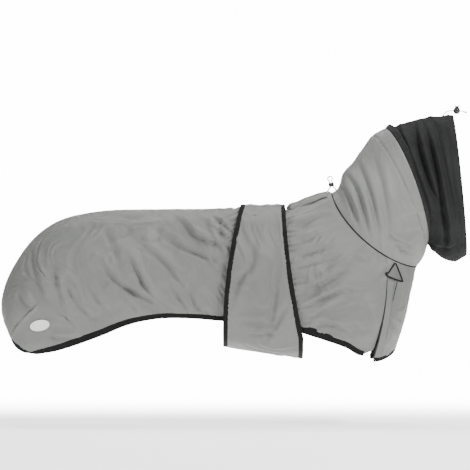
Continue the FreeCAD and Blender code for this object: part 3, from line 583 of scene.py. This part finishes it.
COLLAR_FOLDS = [
    ([(0, 8), (14, -14), (26, -48), (34, -74)], 8, 8.0),
    ([(12, 34), (34, -6), (46, -48), (56, -96)], 8.5, 7.5),
    ([(34, 58), (54, 4), (68, -50), (76, -104)], 9, 6.0),
    ([(66, 70), (82, 10), (92, -50), (98, -110)], 10, 3.2),
    ([(84, -84), (104, -102), (140, -116)], 7, 3.6),
    ([(100, -110), (128, -128), (150, -128)], 6, 3.4),
    ([(112, -62), (140, -52), (168, -56)], 9, 3.6),
    ([(110, -130), (136, -112), (162, -92)], 6, 3.0),
    ([(120, -86), (142, -84), (164, -78)], 8, 2.4),
]
HOOD_FOLDS = [
    ([(120, 112), (136, 64), (166, -16), (178, -60)], 9, 7.0),
    ([(148, 134), (158, 80), (178, 10), (194, -30)], 9, 7.5),
    ([(166, 132), (182, 76), (200, -10), (212, -90), (208, -142)], 9, 8.0),
    ([(186, 138), (204, 60), (222, -30), (232, -120)], 10, 4.0),
    ([(210, 140), (220, 50), (234, -40), (242, -110)], 10, 2.4),
    ([(176, -108), (206, -118), (232, -112)], 7, 3.0),
]
BAND_FOLDS = [
    ([(-132, -200), (-136, -250), (-146, -296)], 11, 2.8),
    ([(-176, -150), (-204, -190), (-216, -230)], 10, 2.6),
    ([(-112, -236), (-128, -270), (-150, -302)], 9, 2.6),
    ([(-210, -262), (-180, -266), (-140, -270)], 9, 1.8),
    ([(-196, -286), (-160, -290), (-110, -282)], 8, 2.0),
    ([(-172, -100), (-176, -150), (-184, -210)], 14, 1.6),
]


def mirrored_folds(p, lines):
    """The right side's folds, and on the left side the same ones a little further back."""
    shifted = p.copy()
    left = p[..., 1] > 0
    shifted[..., 0] = np.where(left, p[..., 0] + 14, p[..., 0])
    shifted[..., 2] = np.where(left, p[..., 2] - 9, p[..., 2])
    spine = 1 - np.exp(-(p[..., 1] / 22) ** 2)
    return fold_lines(shifted, lines) * spine


def gathers(distance, place, reach, height, spacing, seed):
    """Small pleats that run away from a gathered edge; place is the distance along the edge."""
    slow = np.stack([place / 31, place * 0 + seed, place * 0], axis=-1)
    fast = np.stack([place / spacing / 1.7, place * 0 + seed, distance / 45], axis=-1)
    phase = place / spacing + 2.2 * value_noise(slow)
    pleat = np.abs(np.sin(math.pi * phase)) ** 0.7 - 0.66
    return height * pleat * (0.25 + 1.3 * value_noise(fast)) * np.exp(-np.maximum(distance, 0) / reach)


def near_edge(share, width=0.02):
    return np.clip(share / width, 0, 1)


def back_relief(p, u, b):
    edge = near_edge(u) * near_edge(1 - np.abs(b), 0.03)
    to_band = np.maximum(-236 - p[..., 0] + 0.14 * (p[..., 2] + 266), 0)
    pleats = gathers(to_band, p[..., 2] + 0.55 * to_band, 24, 6.0, 11, 4.7)
    hem = gathers((1 - np.abs(b)) * 230, p[..., 0], 10, 1.6, 8, 1.3)
    forward = np.clip((p[..., 0] + 640) / 250, 0.75, 1)
    flank = 1 - 0.85 * np.exp(-(p[..., 1] / 34) ** 2)
    cloth_noise = (4.4 * forward * creases(p, -42, 230, 24, 2.0) + 1.5 * creases(p, -58, 120, 15, 4.0)
                   + 1.8 * soft(p, 90, 5.0)) * flank
    from_label = np.linalg.norm(p - back(*map(np.array, LABEL_SHARES)), axis=-1)
    off_label = 1 - np.exp(-(from_label / 27) ** 4)
    return (1.8 * mirrored_folds(p, BACK_FOLDS) + pleats + cloth_noise) * edge * off_label \
        + 1.6 * mirrored_folds(p, DART_LINES) * edge + hem


def shoulder_relief(p, r, w):
    edge = near_edge(r, 0.05) * near_edge(1 - np.abs(w), 0.02) * near_edge(1 - r, 0.02)
    to_band = np.maximum(p[..., 0] + 112 - 0.14 * np.maximum(-p[..., 2] - 110, 0), 0)
    pleats = gathers(to_band, p[..., 2] - 0.2 * to_band, 22, 5.6, 11, 8.1)
    hem = gathers((1 - r) * 220, p[..., 0], 9, 1.6, 8, 2.9) * (np.abs(w) > 0.55)
    cloth_noise = (3.6 * creases(p, 20, 150, 28, 7.0) + 2.0 * creases(p, 35, 90, 15, 3.0)
                   + 1.6 * soft(p, 90, 9.0))
    yoke = 4.5 * np.exp(-((p[..., 0] + 22) / 13) ** 2 - (p[..., 1] / 24) ** 2)
    folds = 2.2 * mirrored_folds(p, SHOULDER_FOLDS) + pleats + cloth_noise
    return folds * edge + hem * near_edge(r, 0.05) + yoke


def chest_relief(p, r, q):
    edge = near_edge(r, 0.06) * near_edge(1 - np.abs(q), 0.1)
    folds = 1.5 * mirrored_folds(p, CHEST_FOLDS) + 2.0 * creases(p, -76, 140, 24, 3.0)
    return (folds + 2.0 * soft(p, 70, 4.0)) * edge


RIM_STITCH = 0.84


def collar_relief(p, r, angle):
    edge = near_edge(r, 0.06) * near_edge(1 - r, 0.03)
    groove = -1.1 * np.exp(-((r - RIM_STITCH) / 0.012) ** 2)
    pucker = gathers(np.abs(r - RIM_STITCH) * 160, angle * 1.1, 8, 1.3, 7, 5.0)
    seam = gathers(r * 160, angle * 1.4, 12, 2.0, 9, 6.0)
    nape = np.exp(-(angle / 38) ** 2) * (7.5 * np.exp(-((r - 0.27) / 0.13) ** 2)
                                         - 2 * np.exp(-((r - 0.07) / 0.05) ** 2))
    folds = 0.85 * mirrored_folds(p, COLLAR_FOLDS) + 1.3 * creases(p, -70, 130, 24, 12.0)
    return (folds + 1.4 * soft(p, 60, 3.0)) * edge + groove + pucker + (seam + nape) * near_edge(r, 0.02)


def hood_relief(p, r, angle):
    edge = near_edge(r, 0.2) * near_edge(1 - r, 0.05)
    return (1.45 * mirrored_folds(p, HOOD_FOLDS) + 3.4 * creases(p, -76, 190, 30, 21.0)) * edge


def band_relief(p, t, e):
    edge = near_edge(e, 0.06) * near_edge(1 - e, 0.06)
    on_side = np.clip((-60 - p[..., 2]) / 60, 0, 1)
    pucker = gathers(np.minimum(e, 1 - e) * 120, t * 404, 9, 1.2, 9, 7.0)
    return (2.2 * fold_lines(p, BAND_FOLDS) * on_side + 3.2 * creases(p, -84, 150, 24, 5.0)
            + 1.6 * soft(p, 80, 8.0)) * edge * 0.8 + pucker


def calm(relief, keep):
    """The same relief, shallower, for a lining that follows its panel."""
    return lambda p, a, b: keep * relief(p, a, b)


# ---------------------------------------------------------------- pieces
SOFT_GAP = 4.2
SIDES = (("right", -1), ("left", 1))


def place_sheet(piece, body, nodes):
    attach(piece, body)
    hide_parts(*nodes)


def trim(piece, body, slot, *nodes):
    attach(piece, body)
    if nodes:
        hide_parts(*nodes)
    return piece


# camera first, at right angles to the coat's right side
scene = bpy.context.scene
camera_data = bpy.data.cameras.new("camera")
camera_data.lens = 230
camera_data.sensor_width = 36
camera_data.clip_end = 100
camera = bpy.data.objects.new("camera", camera_data)
scene.collection.objects.link(camera)
VIEW_MIDDLE = Vector((-0.214, 0.0, -0.094))
VIEW_DISTANCE = 6.05
camera.location = VIEW_MIDDLE + Vector((0, -VIEW_DISTANCE, 0))
camera.rotation_euler = (math.pi / 2, 0, 0)
scene.camera = camera

# cords: the snood's two cord ends in their lock, and the doubled neck cord with its loop
SNOOD_CORD = [(205.0, 5.0, 143.5), (207.0, 4.0, 150.5), (214.0, 1.5, 156.6), (242.0, 1.25, 156.6),
              (247.5, 1.0, 154.4)]
KNOT_AT = np.array([250.4, 0, 153.4])
TOGGLE_AT = np.array([-20.0, 0, 7.5])
TOGGLE_TILT = math.radians(-12.0)
HALF_GAP = 2.3


def toggle_frame(across, along):
    return TOGGLE_AT + np.array([across * math.cos(TOGGLE_TILT) + along * math.sin(TOGGLE_TILT), 0,
                                 -across * math.sin(TOGGLE_TILT) + along * math.cos(TOGGLE_TILT)])


NECK_CORD = [np.array([-27.4, 0, -7.6]), np.array([-26.2, 0, -2.8]), toggle_frame(-HALF_GAP, -6.5),
             toggle_frame(-HALF_GAP, 9.0), toggle_frame(-5.8, 13.0), toggle_frame(0, 18.5),
             toggle_frame(5.8, 13.0), toggle_frame(HALF_GAP, 9.0), toggle_frame(HALF_GAP, -6.5),
             np.array([-11.0, 0, -0.4]), np.array([-9.6, 0, -4.8])]


def cord_curve(name, points, diameter):
    curve = bpy.data.curves.new(name, "CURVE")
    curve.dimensions = "3D"
    curve.bevel_depth = diameter / 2 * MM
    curve.bevel_resolution = 4
    curve.use_fill_caps = True
    curve.resolution_u = 12
    spline = curve.splines.new("NURBS")
    spline.points.add(len(points) - 1)
    for point, place in zip(spline.points, points):
        point.co = (*(np.array(place) * MM), 1)
    spline.order_u = 3
    spline.use_endpoint_u = True
    curve.materials.append(CORD)
    piece = bpy.data.objects.new(name, curve)
    scene.collection.objects.link(piece)
    return piece


def knot_mesh():
    """A tight overhand knot of the two cord ends, as a fat trefoil tube."""
    turns = np.linspace(0, 2 * math.pi, 61)[:-1]
    path = np.stack([(np.sin(turns) + 2 * np.sin(2 * turns)) * 0.62,
                     (np.cos(turns) - 2 * np.cos(2 * turns)) * 0.75,
                     -np.sin(3 * turns) * 0.9], axis=1) + KNOT_AT
    middle = path.mean(axis=0)
    normals = path - middle
    normals /= np.linalg.norm(normals, axis=1, keepdims=True)
    loop = np.concatenate([path, path[:1]])
    return tape("snood_knot", loop, np.concatenate([normals, normals[:1]]), 1.9, 1.9, CORD, 0.05, 10, 0.5)


snood_knot = knot_mesh()
trim(snood_knot, "coat", "elastic_cord", "snood_cord_knot")
for name, side in SIDES:
    piece = cord_curve("snood_cord_end_" + name, [(x, side * y, z) for x, y, z in SNOOD_CORD], 2.0)
    trim(piece, "coat", "elastic_cord", "snood_cord_" + name)
    start = tuple(np.array([SNOOD_CORD[0][0], side * SNOOD_CORD[0][1], SNOOD_CORD[0][2]]) * MM)
piece = cord_curve("neck_cord_loop", NECK_CORD, 2.4)
trim(piece, "coat", "elastic_cord", "neck_cord")

# back panel
piece = cloth("back_cloth", back_body, (0.008, 1.0), (-1, 1), (200, 190), 1, GREY, 0.9, 0.2, back_relief)
place_sheet(piece, "coat", ["back_shell"])
piece = cloth("back_fleece", back_body, (0.008, 1.0), (-1, 1), (110, 110), 1, FLEECE, 1.6, -SOFT_GAP,
              calm(back_relief, 0.95))
place_sheet(piece, "coat", ["back_lining"])

u_side = np.linspace(1.0, 0.02, 90)
v_rear = np.linspace(-0.995, 0.995, 50)
side_share = 0.5 * (hem_share(u_side) + 1)
right_hem, right_n = edge_path(back, u_side, -side_share, 1)
left_hem, left_n = edge_path(back, u_side[::-1], side_share[::-1], 1)
rear_hem, rear_n = edge_path(back, np.full(50, 0.008), v_rear * 0.985, 1)
keep_rear = np.abs(v_rear) < 0.9
hem_path = np.concatenate([right_hem, rear_hem[keep_rear], left_hem])
hem_normals = np.concatenate([right_n, rear_n[keep_rear], left_n])
HEM_SHAPE = [10, 10, 10, 10.5, 12.5, 14, 12.5, 9, 6.5]
piece = tape("back_hem_tape", hem_path, hem_normals, HEM_SHAPE + HEM_SHAPE[-2::-1], 3.0, TAPE)
trim(piece, "coat", "black_binding", "back_hem_binding")

DARTS = [((0.187, 0.728), (0.117, 0.696)), ((0.220, 0.833), (0.236, 0.93))]
for k, (start, end) in enumerate(DARTS):
    for name, side in SIDES:
        share = np.linspace(0, 1, 20)
        path, n = edge_path(back, start[0] + (end[0] - start[0]) * share,
                            side * (start[1] + (end[1] - start[1]) * share), 1, 0.6)
        piece = tape("dart_%d_%s" % (k, name), path, n, 1.3, 2.2, THREAD, 0.2, 8, 1.5)
        trim(piece, "coat", "shell_nylon", *(["rump_darts"] if k == 0 and side < 0 else []))


def label_piece():
    """A plain oval woven patch with a merrowed edge; it carries no lettering."""
    u, v = LABEL_SHARES
    (centre,), (n,) = edge_path(back, np.array([u]), np.array([v]), 1, 2.4)
    right = np.array([1, 0, 0.2]) - n * (np.array([1, 0, 0.2]) @ n)
    right /= np.linalg.norm(right)
    up = np.cross(n, right)
    up *= np.sign(up[2])
    sides = 48
    points, faces, uvs = [centre + n * 1.0], [], [(0.0, 0.0)]
    profile = [(0.25, 1.0), (0.5, 1.0), (0.8, 0.95), (0.9, 1.25), (0.96, 1.2), (1.0, 0.7), (1.0, 0.0)]
    for reach, high in profile:
        for k in range(sides):
            turn = k / sides * 2 * math.pi
            x, y = LABEL_HALF[0] * reach * math.cos(turn), LABEL_HALF[1] * reach * math.sin(turn)
            sag = -(x * x) / 900 - (y * y) / 500
            points.append(centre + right * x + up * y + n * (high + sag))
            uvs.append((x, y))
    for k in range(sides):
        faces.append([0, 1 + k, 1 + (k + 1) % sides])
    for m in range(len(profile) - 1):
        for k in range(sides):
            a, b = 1 + m * sides + k, 1 + m * sides + (k + 1) % sides
            faces.append([a, a + sides, b + sides, b])
    faces.append([1 + (len(profile) - 1) * sides + k for k in range(sides)][::-1])
    return build_mesh("plain_label", np.array(points), faces, np.array(uvs), LABEL, sharp=70)


trim(label_piece(), "coat", "label_fabric", "label_patch")


# shoulder panel, with the leash opening cut at the spine
def in_opening(p):
    return (np.abs(p[..., 0] - OPENING_X) < OPENING_LENGTH / 2) & (np.abs(p[..., 1]) < OPENING_WIDTH / 2)


def spine_dense(surface):
    """The same surface with its rows drawn closer together at the spine."""
    return lambda r, s: surface(r, np.sign(s) * (0.25 * np.abs(s) + 0.75 * np.abs(s) ** 2))


def shoulder_body(r, w):
    corner = np.clip((np.abs(w) - 0.935) / 0.02, 0, 1)
    return shoulder(0.004 + (0.965 + 0.03 * corner) * r, w)


shoulder_cloth_surface = spine_dense(shoulder_body)
shoulder_cloth_relief = lambda p, r, s: shoulder_relief(p, r, np.sign(s) * (0.25 * np.abs(s) + 0.75 * s * s))
piece = cloth("shoulder_cloth", shoulder_cloth_surface, (0, 1), (-1, 1), (120, 260), -1, GREY, 0.9, 0.2,
              shoulder_cloth_relief, skip=in_opening)
place_sheet(piece, "coat", ["shoulder_shell"])
piece = cloth("shoulder_fleece", shoulder_cloth_surface, (0, 1), (-0.99, 0.99), (90, 200), -1, FLEECE, 1.6,
              -SOFT_GAP, calm(shoulder_cloth_relief, 0.95), skip=in_opening)
place_sheet(piece, "coat", ["shoulder_lining"])
HEM_WIDTHS = [13, 18, 17.5, 15, 12, 10]
for name, side in SIDES:
    w = np.linspace(0.575, 0.955 if side < 0 else 0.995, 60)
    share = np.linspace(0, 1, 60)
    half = np.interp(share, np.linspace(0, 1, 6), HEM_WIDTHS) / 2
    path, n = edge_path(shoulder, 1.012 - half / 215, side * w, -1, 1.2)
    widths = HEM_WIDTHS
    if side < 0:
        path, n, widths = path[::-1], n[::-1], HEM_WIDTHS[::-1]
    piece = tape("shoulder_hem_tape_" + name, path, n, widths, 3.2, TAPE, ripple=0.5)
    trim(piece, "coat", "black_binding", "shoulder_hem_binding_" + name)

# chest panel
piece = cloth("chest_cloth", chest, (0.006, 0.965), (-1, 1), (90, 120), 1, GREY, 0.9, 0.6, chest_relief)
place_sheet(piece, "coat", ["chest_shell"])
piece = cloth("chest_fleece", chest, (0.012, 0.955), (-0.97, 0.97), (60, 70), 1, FLEECE, 1.6, -SOFT_GAP,
              calm(chest_relief, 0.95))
place_sheet(piece, "coat", ["chest_lining"])
q = np.linspace(-0.985, 0.985, 60)
path, n = edge_path(chest, np.full(60, 0.975), q, 1)
piece = tape("chest_hem_tape", path, n, 9.5, 3.0, TAPE)
trim(piece, "coat", "black_binding", "chest_hem_binding")
for name, side in SIDES:
    surface = lambda r, q, s=side: chest(r, s * q)
    piece = cloth("slit_facing_strip_" + name, surface, (0.22, 0.955), (0.86, 0.995), (70, 8), side, GREY, 0.8,
                  1.8, lambda p, r, q: 0.25 * soft(p, 14, 2.0))
    trim(piece, "coat", "shell_nylon", "slit_facing_" + name)
    r = np.linspace(0.22, 0.95, 50)
    path, n = edge_path(chest, r, np.full(50, side * 0.86), 1, 2.0)
    trim(stitches("slit_stitch_" + name, path, n, THREAD, 3.0, 0.8, 0.8, 0.6), "coat", "shell_nylon")
    # the black line along the slit's edge is painted shadow under the overlapping edge
    path, n = edge_path(chest, r, np.full(50, side * 0.992), 1, 1.4)
    trim(tape("slit_edge_shadow_line_" + name, path, n, 1.6, 1.6, SHADOW_LINE_BLACK, 0.1, 8), "coat", "black_binding")


def slit_shadow_line(name, points, side, width, rise, material, slot):
    """A thin raised line over the coat's front that follows points of the side view; the slit's painted shadow
    line is drawn with it.
    """
    track = smooth(points, np.linspace(0, 1, 24))
    where = np.array([side_point(x, z, side) for x, z in track])
    surface = lambda r, w: on_front(side, r, w)
    outward = facing_out(surface, where[:, 0], where[:, 1])
    path, n = edge_path(surface, where[:, 0], where[:, 1], outward, rise)
    trim(tape(name, path, n, width, 1.4, material, 0.1, 8, 1.5), "coat", slot)


def on_front(side, r, w):
    """A point on the front of the coat, with w over 1 on the chest panel."""
    return np.where(w[..., None] <= 1, shoulder(r, side * w), chest(r, side * (2 - w)))


FRONT_MIDDLE = np.array([40.0, 0.0, -200.0])


def facing_out(surface, a, b):
    """1 or -1: which way edge_path has to turn its normals so that they leave the coat."""
    path, n = edge_path(surface, a, b, 1)
    return 1 if np.sum(n * (path - FRONT_MIDDLE)) > 0 else -1


GUSSET = [(105, -149), (84.5, -171), (119, -188)]
SLIT_PLEAT = [(108, -188), (102, -212), (96, -236)]


def side_point(x, z, side):
    """The shares r and w at which the coat's front passes the point x, z of the side view."""
    r, w = np.meshgrid(np.linspace(0, 0.4, 81), np.linspace(0.6, 1.4, 161), indexing="ij")
    grid = on_front(side, r, w)
    k = np.argmin((grid[..., 0] - x) ** 2 + (grid[..., 2] - z) ** 2)
    return r.ravel()[k], w.ravel()[k]


def gusset_piece(name, side):
    corners = [side_point(x, z, side) for x, z in GUSSET]

    def surface(a, b):
        row = [corners[0][k] + (corners[1][k] - corners[0][k]) * a + (corners[2][k] - corners[1][k]) * a * b
               for k in (0, 1)]
        return on_front(side, row[0], row[1])
    t = np.linspace(0, 1, 14)
    outward = facing_out(surface, 0.3 + 0.5 * t, t)
    # the gusset patch is painted shade: the grey nylon made darker
    patch = cloth("gusset_patch_" + name, surface, (0.04, 1), (0, 1), (18, 18), outward, GREY_PAINTED_SHADE, 0.8, 2.6)
    trim(patch, "coat", "black_binding", "slit_gusset_" + name)
    a = np.concatenate([0.05 + 0.95 * t, np.ones(14), 1 - 0.95 * t])
    b = np.concatenate([np.zeros(14), t, np.ones(14)])
    path, n = edge_path(surface, a, b, outward, 3.0)
    outline = tape("gusset_cord_" + name, path, n, 3.0, 2.0, TAPE, 0.15, 10)
    trim(outline, "coat", "black_binding")


for name, side in SIDES:
    gusset_piece(name, side)
    # the black line down from the gusset is painted shadow in the slit's fold
    slit_shadow_line("slit_pleat_shadow_line_" + name, SLIT_PLEAT, side, 0.9, 3.0, SHADOW_LINE_BLACK, "black_binding")

# collar, its shell in a lighter copy of the grey nylon: painted light
ROUND = (-179.6, 179.6)
piece = cloth("collar_cloth", collar, (0.006, 0.99), ROUND, (110, 240), -1, GREY_COLLAR_PAINTED_LIGHT, 0.9, 0.2,
              collar_relief)
place_sheet(piece, "coat", ["collar_shell"])
piece = cloth("collar_fleece", collar, (0.02, 0.99), ROUND, (110, 240), -1, FLEECE, 1.6, -SOFT_GAP - 0.8,
              collar_relief)
place_sheet(piece, "coat", ["collar_lining"])
around = np.linspace(*ROUND, 160)
path, n = edge_path(collar, np.full(160, 1.028), around, -1, -2.4)
piece = tape("collar_rim_tape", path, n, 14.0, 3.6, FLEECE, 0.3, 18)
trim(piece, "coat", "black_binding", "collar_rim_binding")
path, n = edge_path(collar, np.full(160, 0.002), around, -1, 0.6)
piece = tape("neck_seam_piping", path, n, 2.4, 2.2, TAPE, 0.2, 10)
trim(piece, "coat", "black_binding", "collar_seam_piping")
path, n = edge_path(collar, np.full(160, RIM_STITCH), around, -1, -0.5)
trim(stitches("collar_topstitch", path, n, THREAD), "coat", "shell_nylon")

# snood
piece = cloth("snood_knit", hood, (0.0, 0.985), ROUND, (110, 240), -1, KNIT, 1.2, 0.0, hood_relief)
place_sheet(piece, "coat", ["snood"])
path, n = edge_path(hood, np.full(160, 0.955), around, -1, -0.4)
piece = tape("snood_casing", path, n, 11.0, 3.4, KNIT, 0.5, 16)
trim(piece, "coat", "snood_knit", "snood_hem_casing")

# belly band: the fixed part, and the free part, whose pieces are baked in place and not bent at its fold
def band_piece(label, span, body, count, fold=None):
    inner = lambda t, e: band(t, 0.05 + 0.90 * e)
    pieces = []
    # the band's cloth uses the darker copy of the grey nylon, which is painted shade
    sheet_piece = cloth(label + "_cloth", inner, span, (0, 1), (count, 60), 1, GREY_BAND_PAINTED_SHADE, 1.4, 0.2,
                        band_relief)
    pieces.append((sheet_piece, [label], "shell_nylon"))
    for edge, e, extra in (("_rear", 0.036, "_rear_binding"), ("_front", 0.964, "_front_binding")):
        t = np.linspace(*span, 120)
        path, n = edge_path(band, t, np.full(120, e), 1, -0.6)
        strip = tape(label + edge + "_tape", path, n, 10.0, 3.2, TAPE)
        pieces.append((strip, [label + extra], "black_binding"))
    for strip, nodes, slot in pieces:
        if fold:
            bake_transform(strip)
        else:
            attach(strip, body)
        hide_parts(*nodes)


fold_start = tuple(band(np.array(BAND_HINGE_SHARE), np.array(0.5)) * MM)
fold_end = tuple(band(np.array(BAND_HINGE_SHARE - 0.05), np.array(0.5)) * MM)
band_piece("belly_band_free", (BAND_END, BAND_HINGE_SHARE), "belly_band", 150,
           (fold_start, fold_end))
band_piece("belly_band_fixed", (BAND_HINGE_SHARE, BAND_FAR_END), "coat", 170)
piece = cloth("hook_patch", band, (BAND_END + 0.012, BAND_END + 60 / BAND_GIRTH_HALF), (0.2, 0.8), (20, 20),
              1, TOUCH_TAPE, 1.0, -2.4)
trim(piece, "belly_band", "hook_and_loop", "band_hook_patch")
piece = cloth("loop_patch", lambda t, e: back(0.955 + 0.035 * e, -t), (-0.14, 0.26), (0, 1), (24, 12), -1,
              TOUCH_TAPE, 0.9, 1.4)
trim(piece, "coat", "hook_and_loop", "band_loop_patch")

# leash flap
FLAP_SPAN = (0.0, 0.985)


def worn_flap(a, b):
    """The flap with its sides and its tip pressed down on the coat."""
    points = flap(a, b)
    sides = 4.5 * np.abs(b) ** 2 * np.clip((0.95 - a) / 0.3, 0, 1)
    points[..., 2] -= sides + 9.5 * np.clip(1 - a / 0.45, 0, 1)
    return points


def on_flap(piece, *nodes):
    """The piece is baked in place and the CAD parts it stands for are hidden; it does not bend where the flap
    folds.
    """
    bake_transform(piece)
    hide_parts(*nodes)


piece = cloth("leash_flap_cloth", worn_flap, FLAP_SPAN, (-0.97, 0.97), (60, 30), 1, GREY, 1.2, 0.2,
              lambda p, a, b: 0.7 * creases(p, 8, 60, 14, 6.0) * near_edge(a, 0.1))
on_flap(piece, "leash_flap", "leash_flap_base")
a = np.concatenate([np.linspace(0.985, 0.01, 50), np.linspace(0.01, 0.985, 50)])
b = np.concatenate([np.full(50, -1.0), np.full(50, 1.0)])
path, n = edge_path(worn_flap, a, b, 1, -0.6)
piece = tape("leash_flap_edge", path, n, 2.4, 2.0, GREY, 0.15, 10)
on_flap(piece, "leash_flap_binding")

turn = np.linspace(0, 2 * math.pi, 61)
ring_x = OPENING_X + (OPENING_LENGTH / 2 + 1.5) * np.sign(np.cos(turn)) * np.abs(np.cos(turn)) ** 0.7
ring_y = (OPENING_WIDTH / 2 + 1.5) * np.sign(np.sin(turn)) * np.abs(np.sin(turn)) ** 0.7
ring_r = (-19 - ring_x) / 153
ring_w = ring_y / 190
path, n = edge_path(shoulder, ring_r, np.where(np.abs(ring_w) < 1e-4, 1e-4, ring_w), -1, 1.2)
path[:, 0], path[:, 1] = ring_x, ring_y
piece = tape("leash_opening_tape", path, np.tile([0.0, 0.0, 1.0], (61, 1)), 5.0, 1.8, TAPE, 0.2, 12, 1.5,
             closed=True)
trim(piece, "coat", "black_binding", "leash_opening_welt")

# hardware keeps its CAD shape and gets its finish
FINISHES = {"snood_lock_body": PLASTIC, "snood_lock_plunger": PLASTIC, "neck_toggle": PLASTIC,
            "snood_lock_spring": STEEL, "snood_eyelets": EYELET, "neck_eyelets": EYELET}
for node, material in FINISHES.items():
    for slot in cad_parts[node].material_slots:
        slot.material = material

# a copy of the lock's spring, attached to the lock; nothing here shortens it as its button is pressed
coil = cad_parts["snood_lock_spring"]
spring = bpy.data.objects.new("lock_spring", coil.data.copy())
spring.matrix_world = coil.matrix_world.copy()
scene.collection.objects.link(spring)
coil_points = np.array([coil.matrix_world @ v.co for v in coil.data.vertices])
foot = (coil_points.min(axis=0) + coil_points.max(axis=0)) / 2
foot[2] = coil_points[:, 2].min()
trim(spring, "snood_lock", "spring_steel", "snood_lock_spring")
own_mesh(spring)

# ---------------------------------------------------------------- studio
FLOOR_DROP = 0.13
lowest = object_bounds()[0][2]
bpy.ops.mesh.primitive_plane_add(size=12, location=(0, -4.9, lowest - FLOOR_DROP))
floor = bpy.context.object
floor.name = "studio_floor"
floor_material, nodes, links, shader = new_material("studio_white", 0.9, spec=0.1)
shader.inputs["Base Color"].default_value = (0.95, 0.95, 0.95, 1)
shader.inputs["Emission Color"].default_value = (1, 1, 1, 1)
shader.inputs["Emission Strength"].default_value = 1.3
# the floor fades out towards its far edge
where, axes = nodes.new("ShaderNodeTexCoord"), nodes.new("ShaderNodeSeparateXYZ")
clear, join = nodes.new("ShaderNodeBsdfTransparent"), nodes.new("ShaderNodeMixShader")
fade = map_node(nodes, (0.918, 0.998), (0, 1))
fade.interpolation_type = "SMOOTHSTEP"
for start, end in ((where.outputs["Generated"], axes.inputs["Vector"]), (axes.outputs["Y"], fade.inputs["Value"]),
                   (fade.outputs["Result"], join.inputs["Fac"]), (shader.outputs["BSDF"], join.inputs[1]),
                   (clear.outputs["BSDF"], join.inputs[2]),
                   (join.outputs["Shader"], nodes["Material Output"].inputs["Surface"])):
    links.new(start, end)
floor.data.materials.append(floor_material)

# a bright backdrop in a cone behind the coat, a soft sky round it and a pale ground below
AMBIENT, BACKDROP, GROUND = 0.34, 15.0, 1.6
world = bpy.data.worlds.new("studio")
world.use_nodes = True
nodes, links = world.node_tree.nodes, world.node_tree.links
where, axes = nodes.new("ShaderNodeTexCoord"), nodes.new("ShaderNodeSeparateXYZ")
cone = map_node(nodes, (math.cos(math.radians(24)), math.cos(math.radians(13))), (AMBIENT, BACKDROP))
ground = map_node(nodes, (-0.1, -0.2), (0, GROUND))
brighter = nodes.new("ShaderNodeMath")
brighter.operation = "MAXIMUM"
for start, end in ((where.outputs["Generated"], axes.inputs["Vector"]), (axes.outputs["Y"], cone.inputs["Value"]),
                   (axes.outputs["Z"], ground.inputs["Value"]), (ground.outputs["Result"], brighter.inputs[0]),
                   (cone.outputs["Result"], brighter.inputs[1]),
                   (brighter.outputs["Value"], nodes["Background"].inputs["Strength"])):
    links.new(start, end)
nodes["Background"].inputs["Color"].default_value = (1, 1, 1, 1)
scene.world = world


def area_light(name, place, target, size, power_watts):
    data = bpy.data.lights.new(name, "AREA")
    data.size = size
    data.energy = power_watts
    lamp = bpy.data.objects.new(name, data)
    lamp.location = place
    lamp.rotation_euler = (Vector(target) - Vector(place)).to_track_quat("-Z", "Y").to_euler()
    scene.collection.objects.link(lamp)


MIDDLE = (-0.2, 0, -0.1)
area_light("key", (1.5, -1.9, 1.9), MIDDLE, 0.7, 118)
area_light("fill", (-2.6, -2.8, 0.6), MIDDLE, 1.8, 40)
area_light("back", (-0.3, 0.5, 2.6), MIDDLE, 1.6, 70)
